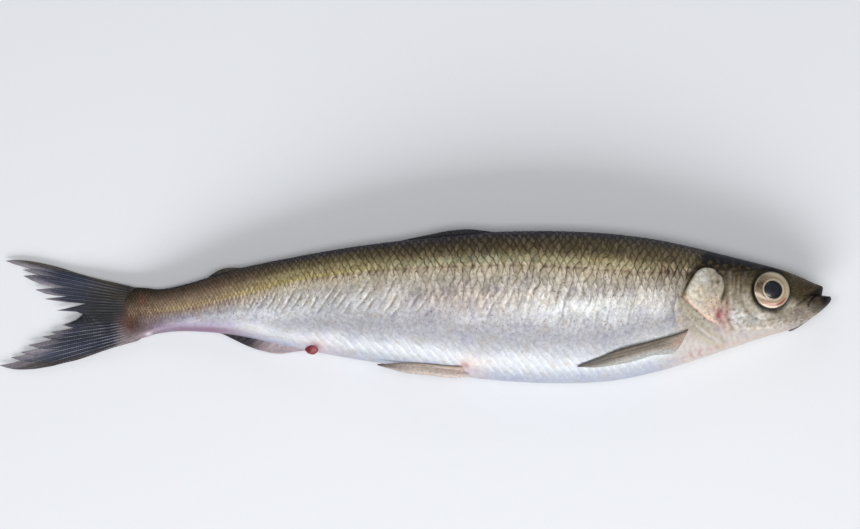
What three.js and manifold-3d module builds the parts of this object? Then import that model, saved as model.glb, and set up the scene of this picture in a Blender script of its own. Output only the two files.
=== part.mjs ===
// A whole small whitefish, lying on its left side on a flat surface.
//
// Millimetres. +X points to the snout, +Y to the back, +Z up, away from the surface.
// The origin is the middle of the underside of the fish's bounding box.
//
// The fish is one grown piece, so it is one solid: the trunk and head are a closed skin lofted
// through stations, and the fins and eyes are joined to it.

import * as THREE from "three";
import { ParametricGeometry } from "three/addons/geometries/ParametricGeometry.js";
import { mergeVertices } from "three/addons/utils/BufferGeometryUtils.js";
import Module from "manifold-3d";

// ---- Driving dimensions -------------------------------------------------------------------

const BODY_LENGTH = 186.6; // snout to the root of the tail fin
const BODY_DEPTH = 40.3; // back to belly at the deepest place
const BODY_WIDTH = 21.8; // flank to flank at the thickest place
const REST_PRESS = 0.5; // how far the soft lower flank flattens on the surface

const TAIL_LOBE_LENGTH = 34.5; // tail fin, root to the tip of a lobe
const TAIL_FORK_LENGTH = 13; // tail fin, root to the bottom of the fork
const TAIL_ROOT_DEPTH = 14; // across the root of the tail fin
const TAIL_SPREAD = 11.7; // degrees that each outer edge turns away from the body's line
const TAIL_ROOT_THICKNESS = 2.4;
const TAIL_TIP_THICKNESS = 0.5;

const EYE_DIAMETER = 9.8;
const EYE_BULGE = 0.8; // how far the eye stands out of the head

const DORSAL_FIN_LENGTH = 27; // along the back, folded down
const DORSAL_FIN_HEIGHT = 1.0;
const ADIPOSE_FIN_LENGTH = 8;
const ADIPOSE_FIN_HEIGHT = 1.2;
const ANAL_FIN_LENGTH = 23;
const ANAL_FIN_HEIGHT = 2.0;
const MIDDLE_FIN_THICKNESS = 1.4; // dorsal, adipose and anal fins, at their roots
const FIN_SINK = 2; // how deep the roots of those fins reach into the body
const TAIL_SINK = 5; // how deep the tail fin's root reaches into the body

const PECTORAL_FIN_LENGTH = 29.6;
const PECTORAL_FIN_WIDTH = 6.0;
const PELVIC_FIN_LENGTH = 22;
const PELVIC_FIN_WIDTH = 3.6;
const PAIRED_FIN_THICKNESS = 0.9;
const PAIRED_FIN_PROUD = 0.35; // share of that thickness by which its middle clears the flank

const GILL_STEP = 0.5; // how far the gill covers stand proud of the trunk behind them

// ---- Shape of the body --------------------------------------------------------------------

// Stations from the mouth to the tail. Each gives the back's and the belly's point as shares of
// BODY_LENGTH from the tail root and of BODY_DEPTH from the middle line, the half width as a
// share of BODY_WIDTH, and how far the flank clears the surface below it, in millimetres.
const STATIONS = [
  // back x,  y,     belly x, y,     half width, clear
  [0.984, 0.085, 0.984, 0.085, 0.0, 6.6],
  [0.99, 0.12, 0.996, 0.078, 0.07, 5.2],
  [0.986, 0.138, 1.0, 0.048, 0.12, 4.3],
  [0.973, 0.162, 0.992, 0.0, 0.175, 3.3],
  [0.953, 0.204, 0.972, -0.073, 0.23, 2.4],
  [0.928, 0.247, 0.947, -0.139, 0.285, 1.6],
  [0.893, 0.29, 0.909, -0.192, 0.333, 1.0],
  [0.853, 0.336, 0.863, -0.261, 0.384, 0.4],
  [0.808, 0.387, 0.812, -0.34, 0.428, 0.0],
  [0.75, 0.443, 0.75, -0.427, 0.466, -0.25],
  [0.679, 0.484, 0.679, -0.489, 0.49, -REST_PRESS],
  [0.594, 0.5, 0.594, -0.5, 0.5, -REST_PRESS],
  [0.501, 0.489, 0.501, -0.472, 0.487, -REST_PRESS],
  [0.409, 0.447, 0.409, -0.405, 0.45, -0.25],
  [0.317, 0.395, 0.317, -0.339, 0.386, 0.0],
  [0.232, 0.326, 0.232, -0.266, 0.312, 0.2],
  [0.153, 0.25, 0.153, -0.188, 0.243, 0.4],
  [0.089, 0.161, 0.089, -0.161, 0.185, 0.5],
  [0.047, 0.118, 0.047, -0.171, 0.138, 0.55],
  [0.012, 0.122, 0.012, -0.2, 0.092, 0.7],
  [0.0, 0.1, 0.0, -0.185, 0.06, 1.0],
  [-0.004, -0.04, -0.004, -0.04, 0.0, 2.3],
];
const FLANK_LEVEL = 0.46; // share of the depth, down from the back, where the flank is widest
const FLANK_ROUNDNESS = 0.88; // 1 is an ellipse, and less gives a flatter flank
const BELLY_TURN = 0.97; // share of the way down to the belly's line, past which fins hang free
const BODY_SLICES = 36;
const BODY_STACKS = 64;

const spline = (pick) => new THREE.SplineCurve(STATIONS.map((station) => pick(...station)));
const back = spline((x, y) => new THREE.Vector2(x * BODY_LENGTH, y * BODY_DEPTH));
const belly = spline((bx, by, x, y) => new THREE.Vector2(x * BODY_LENGTH, y * BODY_DEPTH));
const breadth = spline((bx, by, x, y, half, clear) => {
  return new THREE.Vector2(half * BODY_WIDTH, half * BODY_WIDTH + clear);
});

// The rear edge of the gill cover: how far along the body it lies at each height on the flank.
const GILL_EDGE_X = 0.786; // share of BODY_LENGTH, at the edge's rearmost place
const GILL_EDGE_BOW = 0.05; // how far forward the edge curves above and below that place
const GILL_BLEND = 2.5; // length over which the gill cover's step dies out

function gillStep(x, turn) {
  const height = Math.cos(2 * Math.PI * turn);
  const edge = (GILL_EDGE_X + GILL_EDGE_BOW * (height - 0.1) ** 2) * BODY_LENGTH;
  const onFlank = 1 - THREE.MathUtils.smoothstep(Math.abs(height), 0.55, 0.9);
  const ahead = THREE.MathUtils.smoothstep(x, edge - GILL_BLEND / 2, edge + GILL_BLEND / 2);
  const fade = 1 - THREE.MathUtils.smoothstep(x, edge, edge + 0.08 * BODY_LENGTH);
  return GILL_STEP * onFlank * ahead * fade;
}

// A point of the skin. along runs from 0 at the mouth to 1 at the tail. turn runs round the
// body: 0 is the back, 0.25 the upper (right) flank, 0.5 the belly, 0.75 the lower (left) flank.
function skin(along, turn, target) {
  const top = back.getPoint(along);
  const low = belly.getPoint(along);
  const [half, lift] = breadth.getPoint(along).toArray();
  const middle = top.clone().lerp(low, FLANK_LEVEL);
  const c = Math.cos(2 * Math.PI * turn);
  const s = Math.sin(2 * Math.PI * turn);
  const edge = c > 0 ? top : low;
  const share = Math.abs(c);
  const x = middle.x + (edge.x - middle.x) * share;
  const y = middle.y + (edge.y - middle.y) * share;
  const bulge = half * Math.sign(s) * Math.abs(s) ** FLANK_ROUNDNESS;
  return target.set(x, y, lift + bulge + Math.sign(s) * gillStep(x, turn));
}

// The station at which a profile line passes x, found by halving.
function stationAt(x, line) {
  let low = 0.15;
  let high = 0.99;
  for (let step = 0; step < 24; step++) {
    const middle = (low + high) / 2;
    if (line.getPoint(middle).x > x) {
      low = middle;
    } else {
      high = middle;
    }
  }
  return (low + high) / 2;
}

// The height of the flank on one side (1 the upper, -1 the lower) at a place in side view. Past
// the belly's line it stays as it is just inside that line.
function flankHeight(x, y, side) {
  const station = stationAt(x, belly);
  const top = back.getPoint(station).y;
  const low = belly.getPoint(station).y;
  const [half, lift] = breadth.getPoint(station).toArray();
  const middle = THREE.MathUtils.lerp(top, low, FLANK_LEVEL);
  const share = Math.min((y - middle) / ((y > middle ? top : low) - middle), BELLY_TURN);
  return lift + side * half * Math.sqrt(1 - share ** 2) ** FLANK_ROUNDNESS;
}

// ---- Solids -------------------------------------------------------------------------------

const wasm = await Module();
wasm.setup();

// A closed sheet made into a solid. One that is wound inside out has its triangles turned over.
function solid(geometry) {
  const bare = new THREE.BufferGeometry();
  bare.setAttribute("position", geometry.getAttribute("position"));
  bare.setIndex(geometry.getIndex());
  const merged = mergeVertices(bare, 1e-4);
  const vertProperties = merged.getAttribute("position").array;
  const triVerts = new Uint32Array(merged.getIndex().array);
  const wound = () => new wasm.Manifold(new wasm.Mesh({ numProp: 3, vertProperties, triVerts }));
  const body = wound();
  if (body.volume() > 0) {
    return body;
  }
  triVerts.reverse();
  return wound();
}

function geometryOf(manifold) {
  const { vertProperties, triVerts } = manifold.getMesh();
  const geometry = new THREE.BufferGeometry();
  geometry.setAttribute("position", new THREE.BufferAttribute(vertProperties, 3));
  geometry.setIndex(new THREE.BufferAttribute(triVerts, 1));
  geometry.computeVertexNormals();
  return geometry;
}

// A thin closed blade on both sides of a middle surface. place(across, along, side, target)
// gives a point of its upper (side 1) or lower (side -1) sheet, and the sheets meet at the rim.
function blade(place, slices, stacks) {
  const rim = (u, v, target) => {
    const side = u < 0.5 ? 1 : -1;
    place(u < 0.5 ? 2 * u : 2 - 2 * u, v, side, target);
  };
  return solid(new ParametricGeometry(rim, 2 * slices, stacks));
}

// 0 on the rim of a blade and 1 over most of it, so that its edges are thin but not sharp.
const rounded = (t) => Math.sqrt(Math.max(0, 1 - (2 * t - 1) ** 4));

// The same from a root, where the blade thickens quickly, to its tip.
const tapered = (t) => rounded(0.5 + t / 2) * Math.min(1, 8 * t);

// ---- Parts of the fish --------------------------------------------------------------------

function trunkAndHead() {
  const surface = (u, v, target) => skin(v, u, target);
  return solid(new ParametricGeometry(surface, BODY_SLICES, BODY_STACKS));
}

const EYE_PLACE = [0.9148, 0.112]; // in side view, as shares of BODY_LENGTH and BODY_DEPTH

// A shallow dome that leans with the side of the head round it.
function eye(side) {
  const radius = EYE_DIAMETER / 2;
  const depth = 2.5 * EYE_BULGE;
  const [x, y] = [EYE_PLACE[0] * BODY_LENGTH, EYE_PLACE[1] * BODY_DEPTH];
  const rise = (dx, dy) => flankHeight(x + dx, y + dy, side) - flankHeight(x - dx, y - dy, side);
  const normal = new THREE.Vector3(-rise(radius, 0), -rise(0, radius), 2 * radius).normalize();
  const ball = new THREE.SphereGeometry(radius, 20, 10);
  ball.rotateX(Math.PI / 2);
  ball.scale(1, 1, depth / radius);
  ball.applyQuaternion(new THREE.Quaternion().setFromUnitVectors(new THREE.Vector3(0, 0, 1), normal));
  ball.translate(x, y, flankHeight(x, y, side) + side * (EYE_BULGE - depth));
  return solid(ball);
}

// The tail fin fans out from the end of the body and droops until its tips touch the surface.
function tailFin() {
  const rootY = -0.04 * BODY_DEPTH;
  const rootLift = breadth.getPoint(0.95).y;
  const place = (across, along, side, target) => {
    const fan = 1 - 2 * across; // 1 at the upper edge of the tail, -1 at the lower edge
    const reach = Math.abs(fan) ** 1.3;
    const length = TAIL_SINK + THREE.MathUtils.lerp(TAIL_FORK_LENGTH, TAIL_LOBE_LENGTH, reach);
    const angle = THREE.MathUtils.degToRad(TAIL_SPREAD * fan);
    const run = length * along;
    const x = TAIL_SINK - run * Math.cos(angle);
    const y = rootY + (fan * TAIL_ROOT_DEPTH) / 2 + run * Math.sin(angle);
    const out = THREE.MathUtils.clamp(-x / TAIL_LOBE_LENGTH, 0, 1);
    const full = THREE.MathUtils.lerp(TAIL_ROOT_THICKNESS, TAIL_TIP_THICKNESS, out ** 0.5);
    const middle = THREE.MathUtils.lerp(rootLift, TAIL_TIP_THICKNESS / 2, out ** 0.8);
    const half = (full / 2) * rounded(across) * tapered(along);
    return target.set(x, y, Math.max(middle, full / 2) + side * half);
  };
  return blade(place, 22, 10);
}

// A fin that stands on the back or belly line, in the fish's middle plane: dorsal, adipose, anal.
// start is where its front lies along the body, and crest gives its height along its length.
function middleFin({ start, length, height, ridge, crest }) {
  const line = ridge === "back" ? back : belly;
  const outward = ridge === "back" ? 1 : -1;
  const frontX = start * BODY_LENGTH;
  const place = (across, along, side, target) => {
    const x = frontX - length * along;
    const station = stationAt(x, line);
    const edge = line.getPoint(station);
    const full = FIN_SINK + height * crest(along);
    const half = (MIDDLE_FIN_THICKNESS / 2) * rounded(across) * rounded(along);
    const y = edge.y + outward * (full * across - FIN_SINK);
    return target.set(x, y, breadth.getPoint(station).y + side * half);
  };
  return blade(place, 4, 12);
}

// A fin folded back against the flank: pectoral and pelvic, on both sides. root is where its
// upper edge leaves the body, as shares of BODY_LENGTH and BODY_DEPTH, and slope is how many
// degrees that edge falls towards the belly as it runs back.
function pairedFin({ root, slope, length, width, side }) {
  const [rootX, rootY] = [root[0] * BODY_LENGTH, root[1] * BODY_DEPTH];
  const angle = THREE.MathUtils.degToRad(slope);
  const place = (across, along, sheet, target) => {
    const breadthHere = width * finTaper(along) * across;
    const x = rootX - length * along * Math.cos(angle) - breadthHere * Math.sin(angle);
    const y = rootY - length * along * Math.sin(angle) - breadthHere * Math.cos(angle);
    const half = (PAIRED_FIN_THICKNESS / 2) * rounded(across) * tapered(along);
    const away = side * PAIRED_FIN_PROUD * PAIRED_FIN_THICKNESS;
    return target.set(x, y, flankHeight(x, y, side) + away + sheet * half);
  };
  return blade(place, 6, 14);
}

// The width of a folded fin along its length: widest near a third, and blunt at its tip.
const finTaper = (along) => 0.8 + 0.9 * along * (1 - along) - 0.62 * along ** 2;

const pectoral = {
  root: [0.794, -0.145],
  slope: 19,
  length: PECTORAL_FIN_LENGTH,
  width: PECTORAL_FIN_WIDTH,
};
const pelvic = {
  root: [0.473, -0.375],
  slope: -1,
  length: PELVIC_FIN_LENGTH,
  width: PELVIC_FIN_WIDTH,
};

const middleFins = [
  {
    start: 0.521,
    length: DORSAL_FIN_LENGTH,
    height: DORSAL_FIN_HEIGHT,
    ridge: "back",
    crest: (t) => Math.sin(Math.PI * t ** 0.8),
  },
  {
    start: 0.152,
    length: ADIPOSE_FIN_LENGTH,
    height: ADIPOSE_FIN_HEIGHT,
    ridge: "back",
    crest: (t) => Math.sin(Math.PI * t ** 1.1),
  },
  {
    start: 0.25,
    length: ANAL_FIN_LENGTH,
    height: ANAL_FIN_HEIGHT,
    ridge: "belly",
    crest: (t) => Math.sin(Math.PI * t ** 0.7),
  },
];

// The surface it rests on, which the soft lower flank and fins lie flat against.
function surfaceBelow() {
  const slab = new THREE.BoxGeometry(2 * BODY_LENGTH, 3 * BODY_DEPTH, BODY_WIDTH);
  slab.translate(BODY_LENGTH / 3, 0, -BODY_WIDTH / 2);
  return solid(slab);
}

const pieces = [trunkAndHead(), tailFin(), ...middleFins.map(middleFin)];
for (const side of [1, -1]) {
  pieces.push(eye(side), pairedFin({ ...pectoral, side }), pairedFin({ ...pelvic, side }));
}
const grown = pieces.reduce((whole, piece) => whole.add(piece)).subtract(surfaceBelow());

const skinMaterial = new THREE.MeshStandardMaterial({
  color: 0xa9a9a0,
  roughness: 0.35,
  metalness: 0.3,
});
const fish = new THREE.Mesh(geometryOf(grown), skinMaterial);
fish.name = "fish";

const box = new THREE.Box3().setFromObject(fish);
const centre = box.getCenter(new THREE.Vector3());
fish.position.set(-centre.x, -centre.y, -box.min.z);

const part = new THREE.Group();
part.add(fish);

export default part;
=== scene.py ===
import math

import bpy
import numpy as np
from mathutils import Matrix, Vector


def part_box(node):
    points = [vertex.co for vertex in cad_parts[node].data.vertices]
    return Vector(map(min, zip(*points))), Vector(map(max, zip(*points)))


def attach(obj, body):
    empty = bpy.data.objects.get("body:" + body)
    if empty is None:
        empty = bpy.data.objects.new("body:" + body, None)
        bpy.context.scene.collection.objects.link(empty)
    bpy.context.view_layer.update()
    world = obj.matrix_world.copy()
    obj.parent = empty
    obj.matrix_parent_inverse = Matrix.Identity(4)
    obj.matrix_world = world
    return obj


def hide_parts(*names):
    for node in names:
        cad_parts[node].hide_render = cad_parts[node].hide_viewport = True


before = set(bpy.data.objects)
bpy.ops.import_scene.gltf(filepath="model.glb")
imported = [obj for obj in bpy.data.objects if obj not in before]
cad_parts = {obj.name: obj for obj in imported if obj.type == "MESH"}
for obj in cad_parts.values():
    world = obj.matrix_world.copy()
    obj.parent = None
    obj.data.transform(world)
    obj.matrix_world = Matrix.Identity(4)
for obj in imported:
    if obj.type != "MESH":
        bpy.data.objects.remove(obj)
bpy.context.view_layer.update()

# A whole raw whitefish lying on its left side. The shape formulas work in millimetres, in the
# body's own coordinates: x from the root of the tail fin towards the snout, y from the middle
# line towards the back, z up from the surface below. place() turns them into the frame's metres.

FISH_LOW, FISH_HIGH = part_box("fish")

# ---- Sizes ---------------------------------------------------------------------------------

BODY_LENGTH = 186.6
BODY_DEPTH = 40.3
BODY_WIDTH = 21.8
REST_PRESS = 0.5

TRUNK_CELL = 0.34  # spacing of the skin's grid lines along the trunk
HEAD_CELL = 0.2
HEAD_START = 143.0  # where the finer grid starts
ROUND_CELLS = 380  # grid cells round the body

SCALE_PERIOD = 2.12  # length of one scale's free part at the middle of the trunk
BACK_ROW = 1.95  # distance between two rows of scales, each half a scale out of step
FLANK_ROW = 3.3
SCALE_RELIEF = 0.12
SCALE_REACH = 0.62  # where a scale's free edge lies in its cell, in scale lengths
SCALE_ARCH = 0.5  # how far the free edge curves back at its two ends
ROW_STEP = 0.5  # how far each second row is shifted
FLANK_FOLD_PITCH = 2.7
BELLY_FOLD_PITCH = 2.3

EYE_CENTRE = (170.45, 4.5)
EYE_RADIUS = 4.95

# ---- Colours, as sRGB bytes -------------------------------------------------------------------

BACK_COLOURS = [  # from the lateral line (0) to the back's edge (1)
    (0.0, (217, 200, 167)),
    (0.09, (210, 200, 156)),
    (0.22, (204, 190, 142)),
    (0.35, (146, 132, 96)),
    (0.5, (106, 94, 68)),
    (0.68, (78, 68, 50)),
    (0.84, (48, 46, 44)),
    # The dark blue of the last two stops is partly the back's own dark colour and partly a painted dark blue
    # reflection along the back's edge.
    (0.94, (24, 28, 48)),
    (1.0, (18, 24, 46)),
]
FLANK_COLOURS = [  # from the lateral line (0) to the belly's edge (1)
    (0.0, (228, 210, 176)),
    (0.08, (223, 212, 190)),
    (0.18, (206, 202, 196)),
    (0.27, (192, 192, 190)),
    (0.36, (190, 192, 194)),
    (0.45, (190, 191, 196)),
    (0.54, (190, 190, 197)),
    (0.63, (191, 192, 200)),
    (0.72, (191, 194, 200)),
    (0.8, (192, 196, 201)),
    (0.88, (186, 191, 196)),
    (0.95, (177, 182, 197)),
    (1.0, (168, 172, 186)),
]

# ---- Small helpers ----------------------------------------------------------------------------


def linear(colour):
    """An sRGB byte colour as linear light."""
    share = np.asarray(colour, float) / 255
    return np.where(share <= 0.04045, share / 12.92, ((share + 0.055) / 1.055) ** 2.4)


def ramp(t, stops):
    """Linear-light colours at t along a list of (t, sRGB colour) stops."""
    at = [stop[0] for stop in stops]
    colours = np.array([linear(stop[1]) for stop in stops])
    return np.stack([np.interp(t, at, colours[:, k]) for k in range(3)], -1)


def smooth(low, high, t):
    """0 at low, 1 at high, and a smooth change between them. low may be the greater one."""
    s = np.clip((t - low) / (high - low), 0, 1)
    return s * s * (3 - 2 * s)


def bell(t, width):
    return np.exp(-((t / width) ** 2))


def spot(x, y, centre_x, centre_y, width, squeeze_y=1, squeeze_x=1):
    """A soft spot, 1 at its centre. A squeeze above 1 narrows it and one below 1 stretches it."""
    return bell(np.hypot((x - centre_x) * squeeze_x, (y - centre_y) * squeeze_y), width)


def mix(a, b, share):
    return a + (b - a) * share


def plain(like, byte_colour):
    """One colour at every point of a grid."""
    return np.ones(like.shape + (3,)) * linear(byte_colour)


def blend_colours(colours, layers):
    """Lays (sRGB colour, share) layers over an array of linear colours, one after the other."""
    for byte_colour, share in layers:
        colours = mix(colours, linear(byte_colour), np.clip(share, 0, 1)[..., None])
    return colours


def curve(points, t):
    """A Catmull-Rom curve through the rows of points, at t from 0 to 1."""
    points = np.asarray(points, float)
    last = len(points) - 1
    position = np.clip(np.asarray(t, float), 0, 1) * last
    index = np.minimum(position.astype(int), last - 1)
    w = (position - index)[..., None]
    p0 = points[np.maximum(index - 1, 0)]
    p1 = points[index]
    p2 = points[index + 1]
    p3 = points[np.minimum(index + 2, last)]
    v0 = (p2 - p0) / 2
    v1 = (p3 - p1) / 2
    cubic = (2 * p1 - 2 * p2 + v0 + v1) * w**3
    return cubic + (-3 * p1 + 3 * p2 - 2 * v0 - v1) * w**2 + v0 * w + p1


def distance_to(x, y, points, steps=40):
    """The distance in side view to a curve through points, and how far along it, 0 to 1."""
    line = curve(points, np.linspace(0, 1, steps))
    best = np.full(x.shape, 1e9)
    along = np.zeros(x.shape)
    for k in range(steps - 1):
        (ax, ay), (bx, by) = line[k], line[k + 1]
        dx, dy = bx - ax, by - ay
        t = np.clip(((x - ax) * dx + (y - ay) * dy) / (dx * dx + dy * dy), 0, 1)
        d = np.hypot(x - ax - t * dx, y - ay - t * dy)
        closer = d < best
        best = np.where(closer, d, best)
        along = np.where(closer, (k + t) / (steps - 1), along)
    return best, along


def stroke(x, y, points, width):
    """A soft stroke along a curve, 1 on its middle line."""
    return bell(distance_to(x, y, points)[0], width)


def depth_inside(x, y, outline, steps=60):
    """The distance in side view inside (positive) or outside (negative) a closed outline."""
    closed = list(outline) + [outline[0]]
    d, _ = distance_to(x, y, closed, steps)
    line = curve(closed, np.linspace(0, 1, steps))
    inside = np.zeros(x.shape, bool)
    for (ax, ay), (bx, by) in zip(line[:-1], line[1:]):
        if ay != by:
            crosses = ((ay > y) != (by > y)) & (x < (bx - ax) * (y - ay) / (by - ay) + ax)
            inside ^= crosses
    return np.where(inside, d, -d)


NOISE_WAVES = 7


def noise(x, y, size, seed):
    """Smooth random waves between about -1 and 1, of about the given size."""
    rng = np.random.default_rng(seed)
    total = np.zeros(np.broadcast(x, y).shape)
    for _ in range(NOISE_WAVES):
        angle = rng.uniform(0, 2 * math.pi)
        pitch = 2 * math.pi / (size * rng.uniform(0.7, 1.6))
        phase = rng.uniform(0, 2 * math.pi)
        total += np.sin(pitch * (x * math.cos(angle) + y * math.sin(angle)) + phase)
    return total / (NOISE_WAVES / 2)


# ---- The shape of the body --------------------------------------------------------------------

# The same stations as the part's source, with a softer end at the tail: back x, y, belly x, y,
# half width and clearance.
STATIONS = np.array([
    [0.984, 0.085, 0.984, 0.085, 0.0, 6.6],
    [0.99, 0.12, 0.996, 0.078, 0.07, 5.2],
    [0.986, 0.138, 1.0, 0.048, 0.12, 4.3],
    [0.973, 0.162, 0.992, 0.0, 0.175, 3.3],
    [0.953, 0.204, 0.972, -0.073, 0.23, 2.4],
    [0.928, 0.247, 0.947, -0.139, 0.285, 1.6],
    [0.893, 0.29, 0.909, -0.192, 0.333, 1.0],
    [0.853, 0.336, 0.863, -0.261, 0.384, 0.4],
    [0.808, 0.387, 0.812, -0.34, 0.428, 0.0],
    [0.75, 0.443, 0.75, -0.427, 0.466, -0.25],
    [0.679, 0.484, 0.679, -0.489, 0.49, -REST_PRESS],
    [0.594, 0.5, 0.594, -0.5, 0.5, -REST_PRESS],
    [0.501, 0.489, 0.501, -0.472, 0.487, -REST_PRESS],
    [0.409, 0.447, 0.409, -0.405, 0.45, -0.25],
    [0.317, 0.395, 0.317, -0.339, 0.386, 0.0],
    [0.232, 0.326, 0.232, -0.266, 0.312, 0.2],
    [0.153, 0.25, 0.153, -0.188, 0.243, 0.4],
    [0.089, 0.161, 0.089, -0.161, 0.185, 0.5],
    [0.047, 0.118, 0.047, -0.171, 0.138, 0.55],
    [0.018, 0.126, 0.018, -0.205, 0.1, 0.65],
    [-0.004, 0.126, -0.004, -0.216, 0.05, 0.9],
    [-0.018, 0.09, -0.018, -0.18, 0.022, 1.35],
    [-0.022, -0.04, -0.022, -0.04, 0.0, 1.8],
])
FLANK_LEVEL = 0.46
FLANK_ROUNDNESS = 0.88

LATERAL_LINE = [(-2, -2.0), (13.3, -0.8), (31.9, 3.5), (49.7, 7.7), (77, 10.4), (104, 11.1),
                (121, 10.3), (136, 9.3), (148, 9.3)]


def profiles(along):
    """Back and belly points, half width and clearance at a station parameter."""
    rows = curve(STATIONS, along)
    size = [BODY_LENGTH, BODY_DEPTH, BODY_LENGTH, BODY_DEPTH, BODY_WIDTH, 1]
    rows = rows * np.array(size)
    return rows[..., 0:2], rows[..., 2:4], rows[..., 4], rows[..., 5]


def station_table():
    """Belly x against the station parameter, from the tail forwards, for looking places up."""
    along = np.linspace(0.99, 0.15, 600)
    return profiles(along)[1][:, 0], along


BELLY_X, BELLY_ALONG = station_table()


def section_at(x):
    """Back height, belly height, half width and middle height of the body at x."""
    along = np.interp(x, BELLY_X, BELLY_ALONG)
    back, belly, half, clear = profiles(along)
    return back[..., 1], belly[..., 1], half, half + clear


def flank_height(x, y, side, turn_limit=0.97):
    """The height of one flank (side 1 the upper, -1 the lower) at a place in side view."""
    back, belly, half, lift = section_at(x)
    middle = mix(back, belly, FLANK_LEVEL)
    edge = np.where(y > middle, back, belly)
    share = np.clip((y - middle) / (edge - middle), 0, turn_limit)
    return lift + side * half * np.sqrt(1 - share**2) ** FLANK_ROUNDNESS


def lateral_height(x):
    t = np.linspace(0, 1, 200)
    line = curve(LATERAL_LINE, t)
    return np.interp(x, line[:, 0], line[:, 1])


def place(points):
    """Body millimetres to the frame's metres."""
    shift = np.array([FISH_HIGH.x * 1000 - BODY_LENGTH, (FISH_LOW.y + FISH_HIGH.y) * 500, 0])
    return (points + shift) / 1000


# ---- Meshes -----------------------------------------------------------------------------------


def add_object(name, data):
    made = bpy.data.objects.new(name, data)
    bpy.context.scene.collection.objects.link(made)
    return made


def closed_tube(name, rings, ends, fields, material):
    """A closed mesh from rings of points.

    ends holds a point for each end, which closes it with a fan, or is None, and then each end
    ring is the two sides of a thin blade, and they are zipped together.
    fields maps an attribute's name to its values on the rings.
    """
    count, around = rings.shape[:2]
    points = rings.reshape(-1, 3) if ends is None else np.concatenate([rings.reshape(-1, 3), ends])
    quads = tube_quads(count, around)
    caps = zip_caps(count, around) if ends is None else fan_caps(count, around)
    mesh = bpy.data.meshes.new(name)
    fill_mesh(mesh, place(points), [quads, caps])
    add_bake_layout(mesh, count, around, caps)
    for field, values in fields.items():
        add_field(mesh, field, values, ends is not None)
    mesh.materials.append(material)
    return add_object(name, mesh)


def tube_quads(count, around):
    i = np.arange(count - 1)[:, None] * around
    j = np.arange(around)[None, :]
    k = (j + 1) % around
    return np.stack([i + j, i + k, i + around + k, i + around + j], -1).reshape(-1, 4)


def fan_caps(count, around):
    m = np.arange(around)
    k = (m + 1) % around
    first, base = count * around, (count - 1) * around
    near = np.stack([np.full(around, first), k, m], -1)
    far = np.stack([np.full(around, first + 1), base + m, base + k], -1)
    return np.concatenate([near, far])


def zip_caps(count, around):
    m = np.arange(around // 2 - 1)
    opposite = around - 1 - m
    base = (count - 1) * around
    near = np.stack([m + 1, m, opposite, opposite - 1], -1)
    far = base + np.stack([m, m + 1, opposite - 1, opposite], -1)
    return np.concatenate([near, far])


def fill_mesh(mesh, points, face_groups):
    """Fills an empty mesh from points and groups of faces, each group with one corner count."""
    corners = np.concatenate([faces.ravel() for faces in face_groups])
    totals = np.concatenate([np.full(len(faces), faces.shape[1]) for faces in face_groups])
    mesh.vertices.add(len(points))
    mesh.vertices.foreach_set("co", points.ravel().astype(np.float32))
    mesh.loops.add(len(corners))
    mesh.loops.foreach_set("vertex_index", corners.astype(np.int32))
    mesh.polygons.add(len(totals))
    mesh.polygons.foreach_set("loop_start", (np.cumsum(totals) - totals).astype(np.int32))
    mesh.polygons.foreach_set("use_smooth", np.ones(len(totals), bool))
    mesh.update(calc_edges=True)
    mesh.validate()


BAKE_MARGIN = 0.01  # of the bake layout's square, kept for the end caps


def add_bake_layout(mesh, count, around, caps):
    """A UV layout that fills the square, along by around, with the caps in its two margins."""
    i = np.repeat(np.arange(count - 1), around)
    j = np.tile(np.arange(around), count - 1)
    along = np.stack([i, i, i + 1, i + 1], -1) / (count - 1)
    across = np.stack([j, j + 1, j + 1, j], -1) / around
    body = np.stack([BAKE_MARGIN + (1 - 2 * BAKE_MARGIN) * along, across], -1).reshape(-1, 2)
    half = len(caps) // 2
    shares = np.arange(half)[:, None] / half
    widths = np.array([0.5, 1, 0] if caps.shape[1] == 3 else [1, 0, 0, 1]) / half
    inward = np.array([0, 1, 1] if caps.shape[1] == 3 else [1, 1, 0, 0]) * BAKE_MARGIN
    near = np.stack([np.broadcast_to(inward, (half, len(widths))), shares + widths], -1)
    far = np.stack([1 - near[..., 0], near[..., 1]], -1)
    layout = np.concatenate([body, near.reshape(-1, 2), far.reshape(-1, 2)])
    layer = mesh.uv_layers.new(name="OFBake")
    layer.data.foreach_set("uv", layout.ravel().astype(np.float32))


def add_field(mesh, field, values, has_end_points):
    """Stores a colour (tint) or three numbers on the mesh's points."""
    flat = values.reshape(-1, 3)
    if has_end_points:
        flat = np.concatenate([flat, values[0].mean(0)[None], values[-1].mean(0)[None]])
    if field == "tint":
        flat = np.concatenate([np.clip(flat, 0, 1), np.ones((len(flat), 1))], 1)
        layer = mesh.attributes.new(field, "FLOAT_COLOR", "POINT")
        layer.data.foreach_set("color", flat.ravel().astype(np.float32))
    else:
        layer = mesh.attributes.new(field, "FLOAT_VECTOR", "POINT")
        layer.data.foreach_set("vector", flat.ravel().astype(np.float32))


# ---- Skin: the grid and its side-view coordinates -----------------------------------------------


def station_columns():
    """Station parameters whose grid lines are evenly spaced, closer on the head."""
    fine = np.linspace(0.0, 1.0, 6000)
    back, belly, half, _ = profiles(fine)
    step = np.hypot(*np.diff((back + belly) / 2, axis=0).T) + np.abs(np.diff(half)) * 0.7
    middle = (back[:-1, 0] + belly[:-1, 0]) / 2
    cell = np.where(middle > HEAD_START, HEAD_CELL, TRUNK_CELL)
    count = np.concatenate([[0], np.cumsum(step / cell)])
    return np.interp(np.arange(1, int(count[-1])), count, fine)


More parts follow.
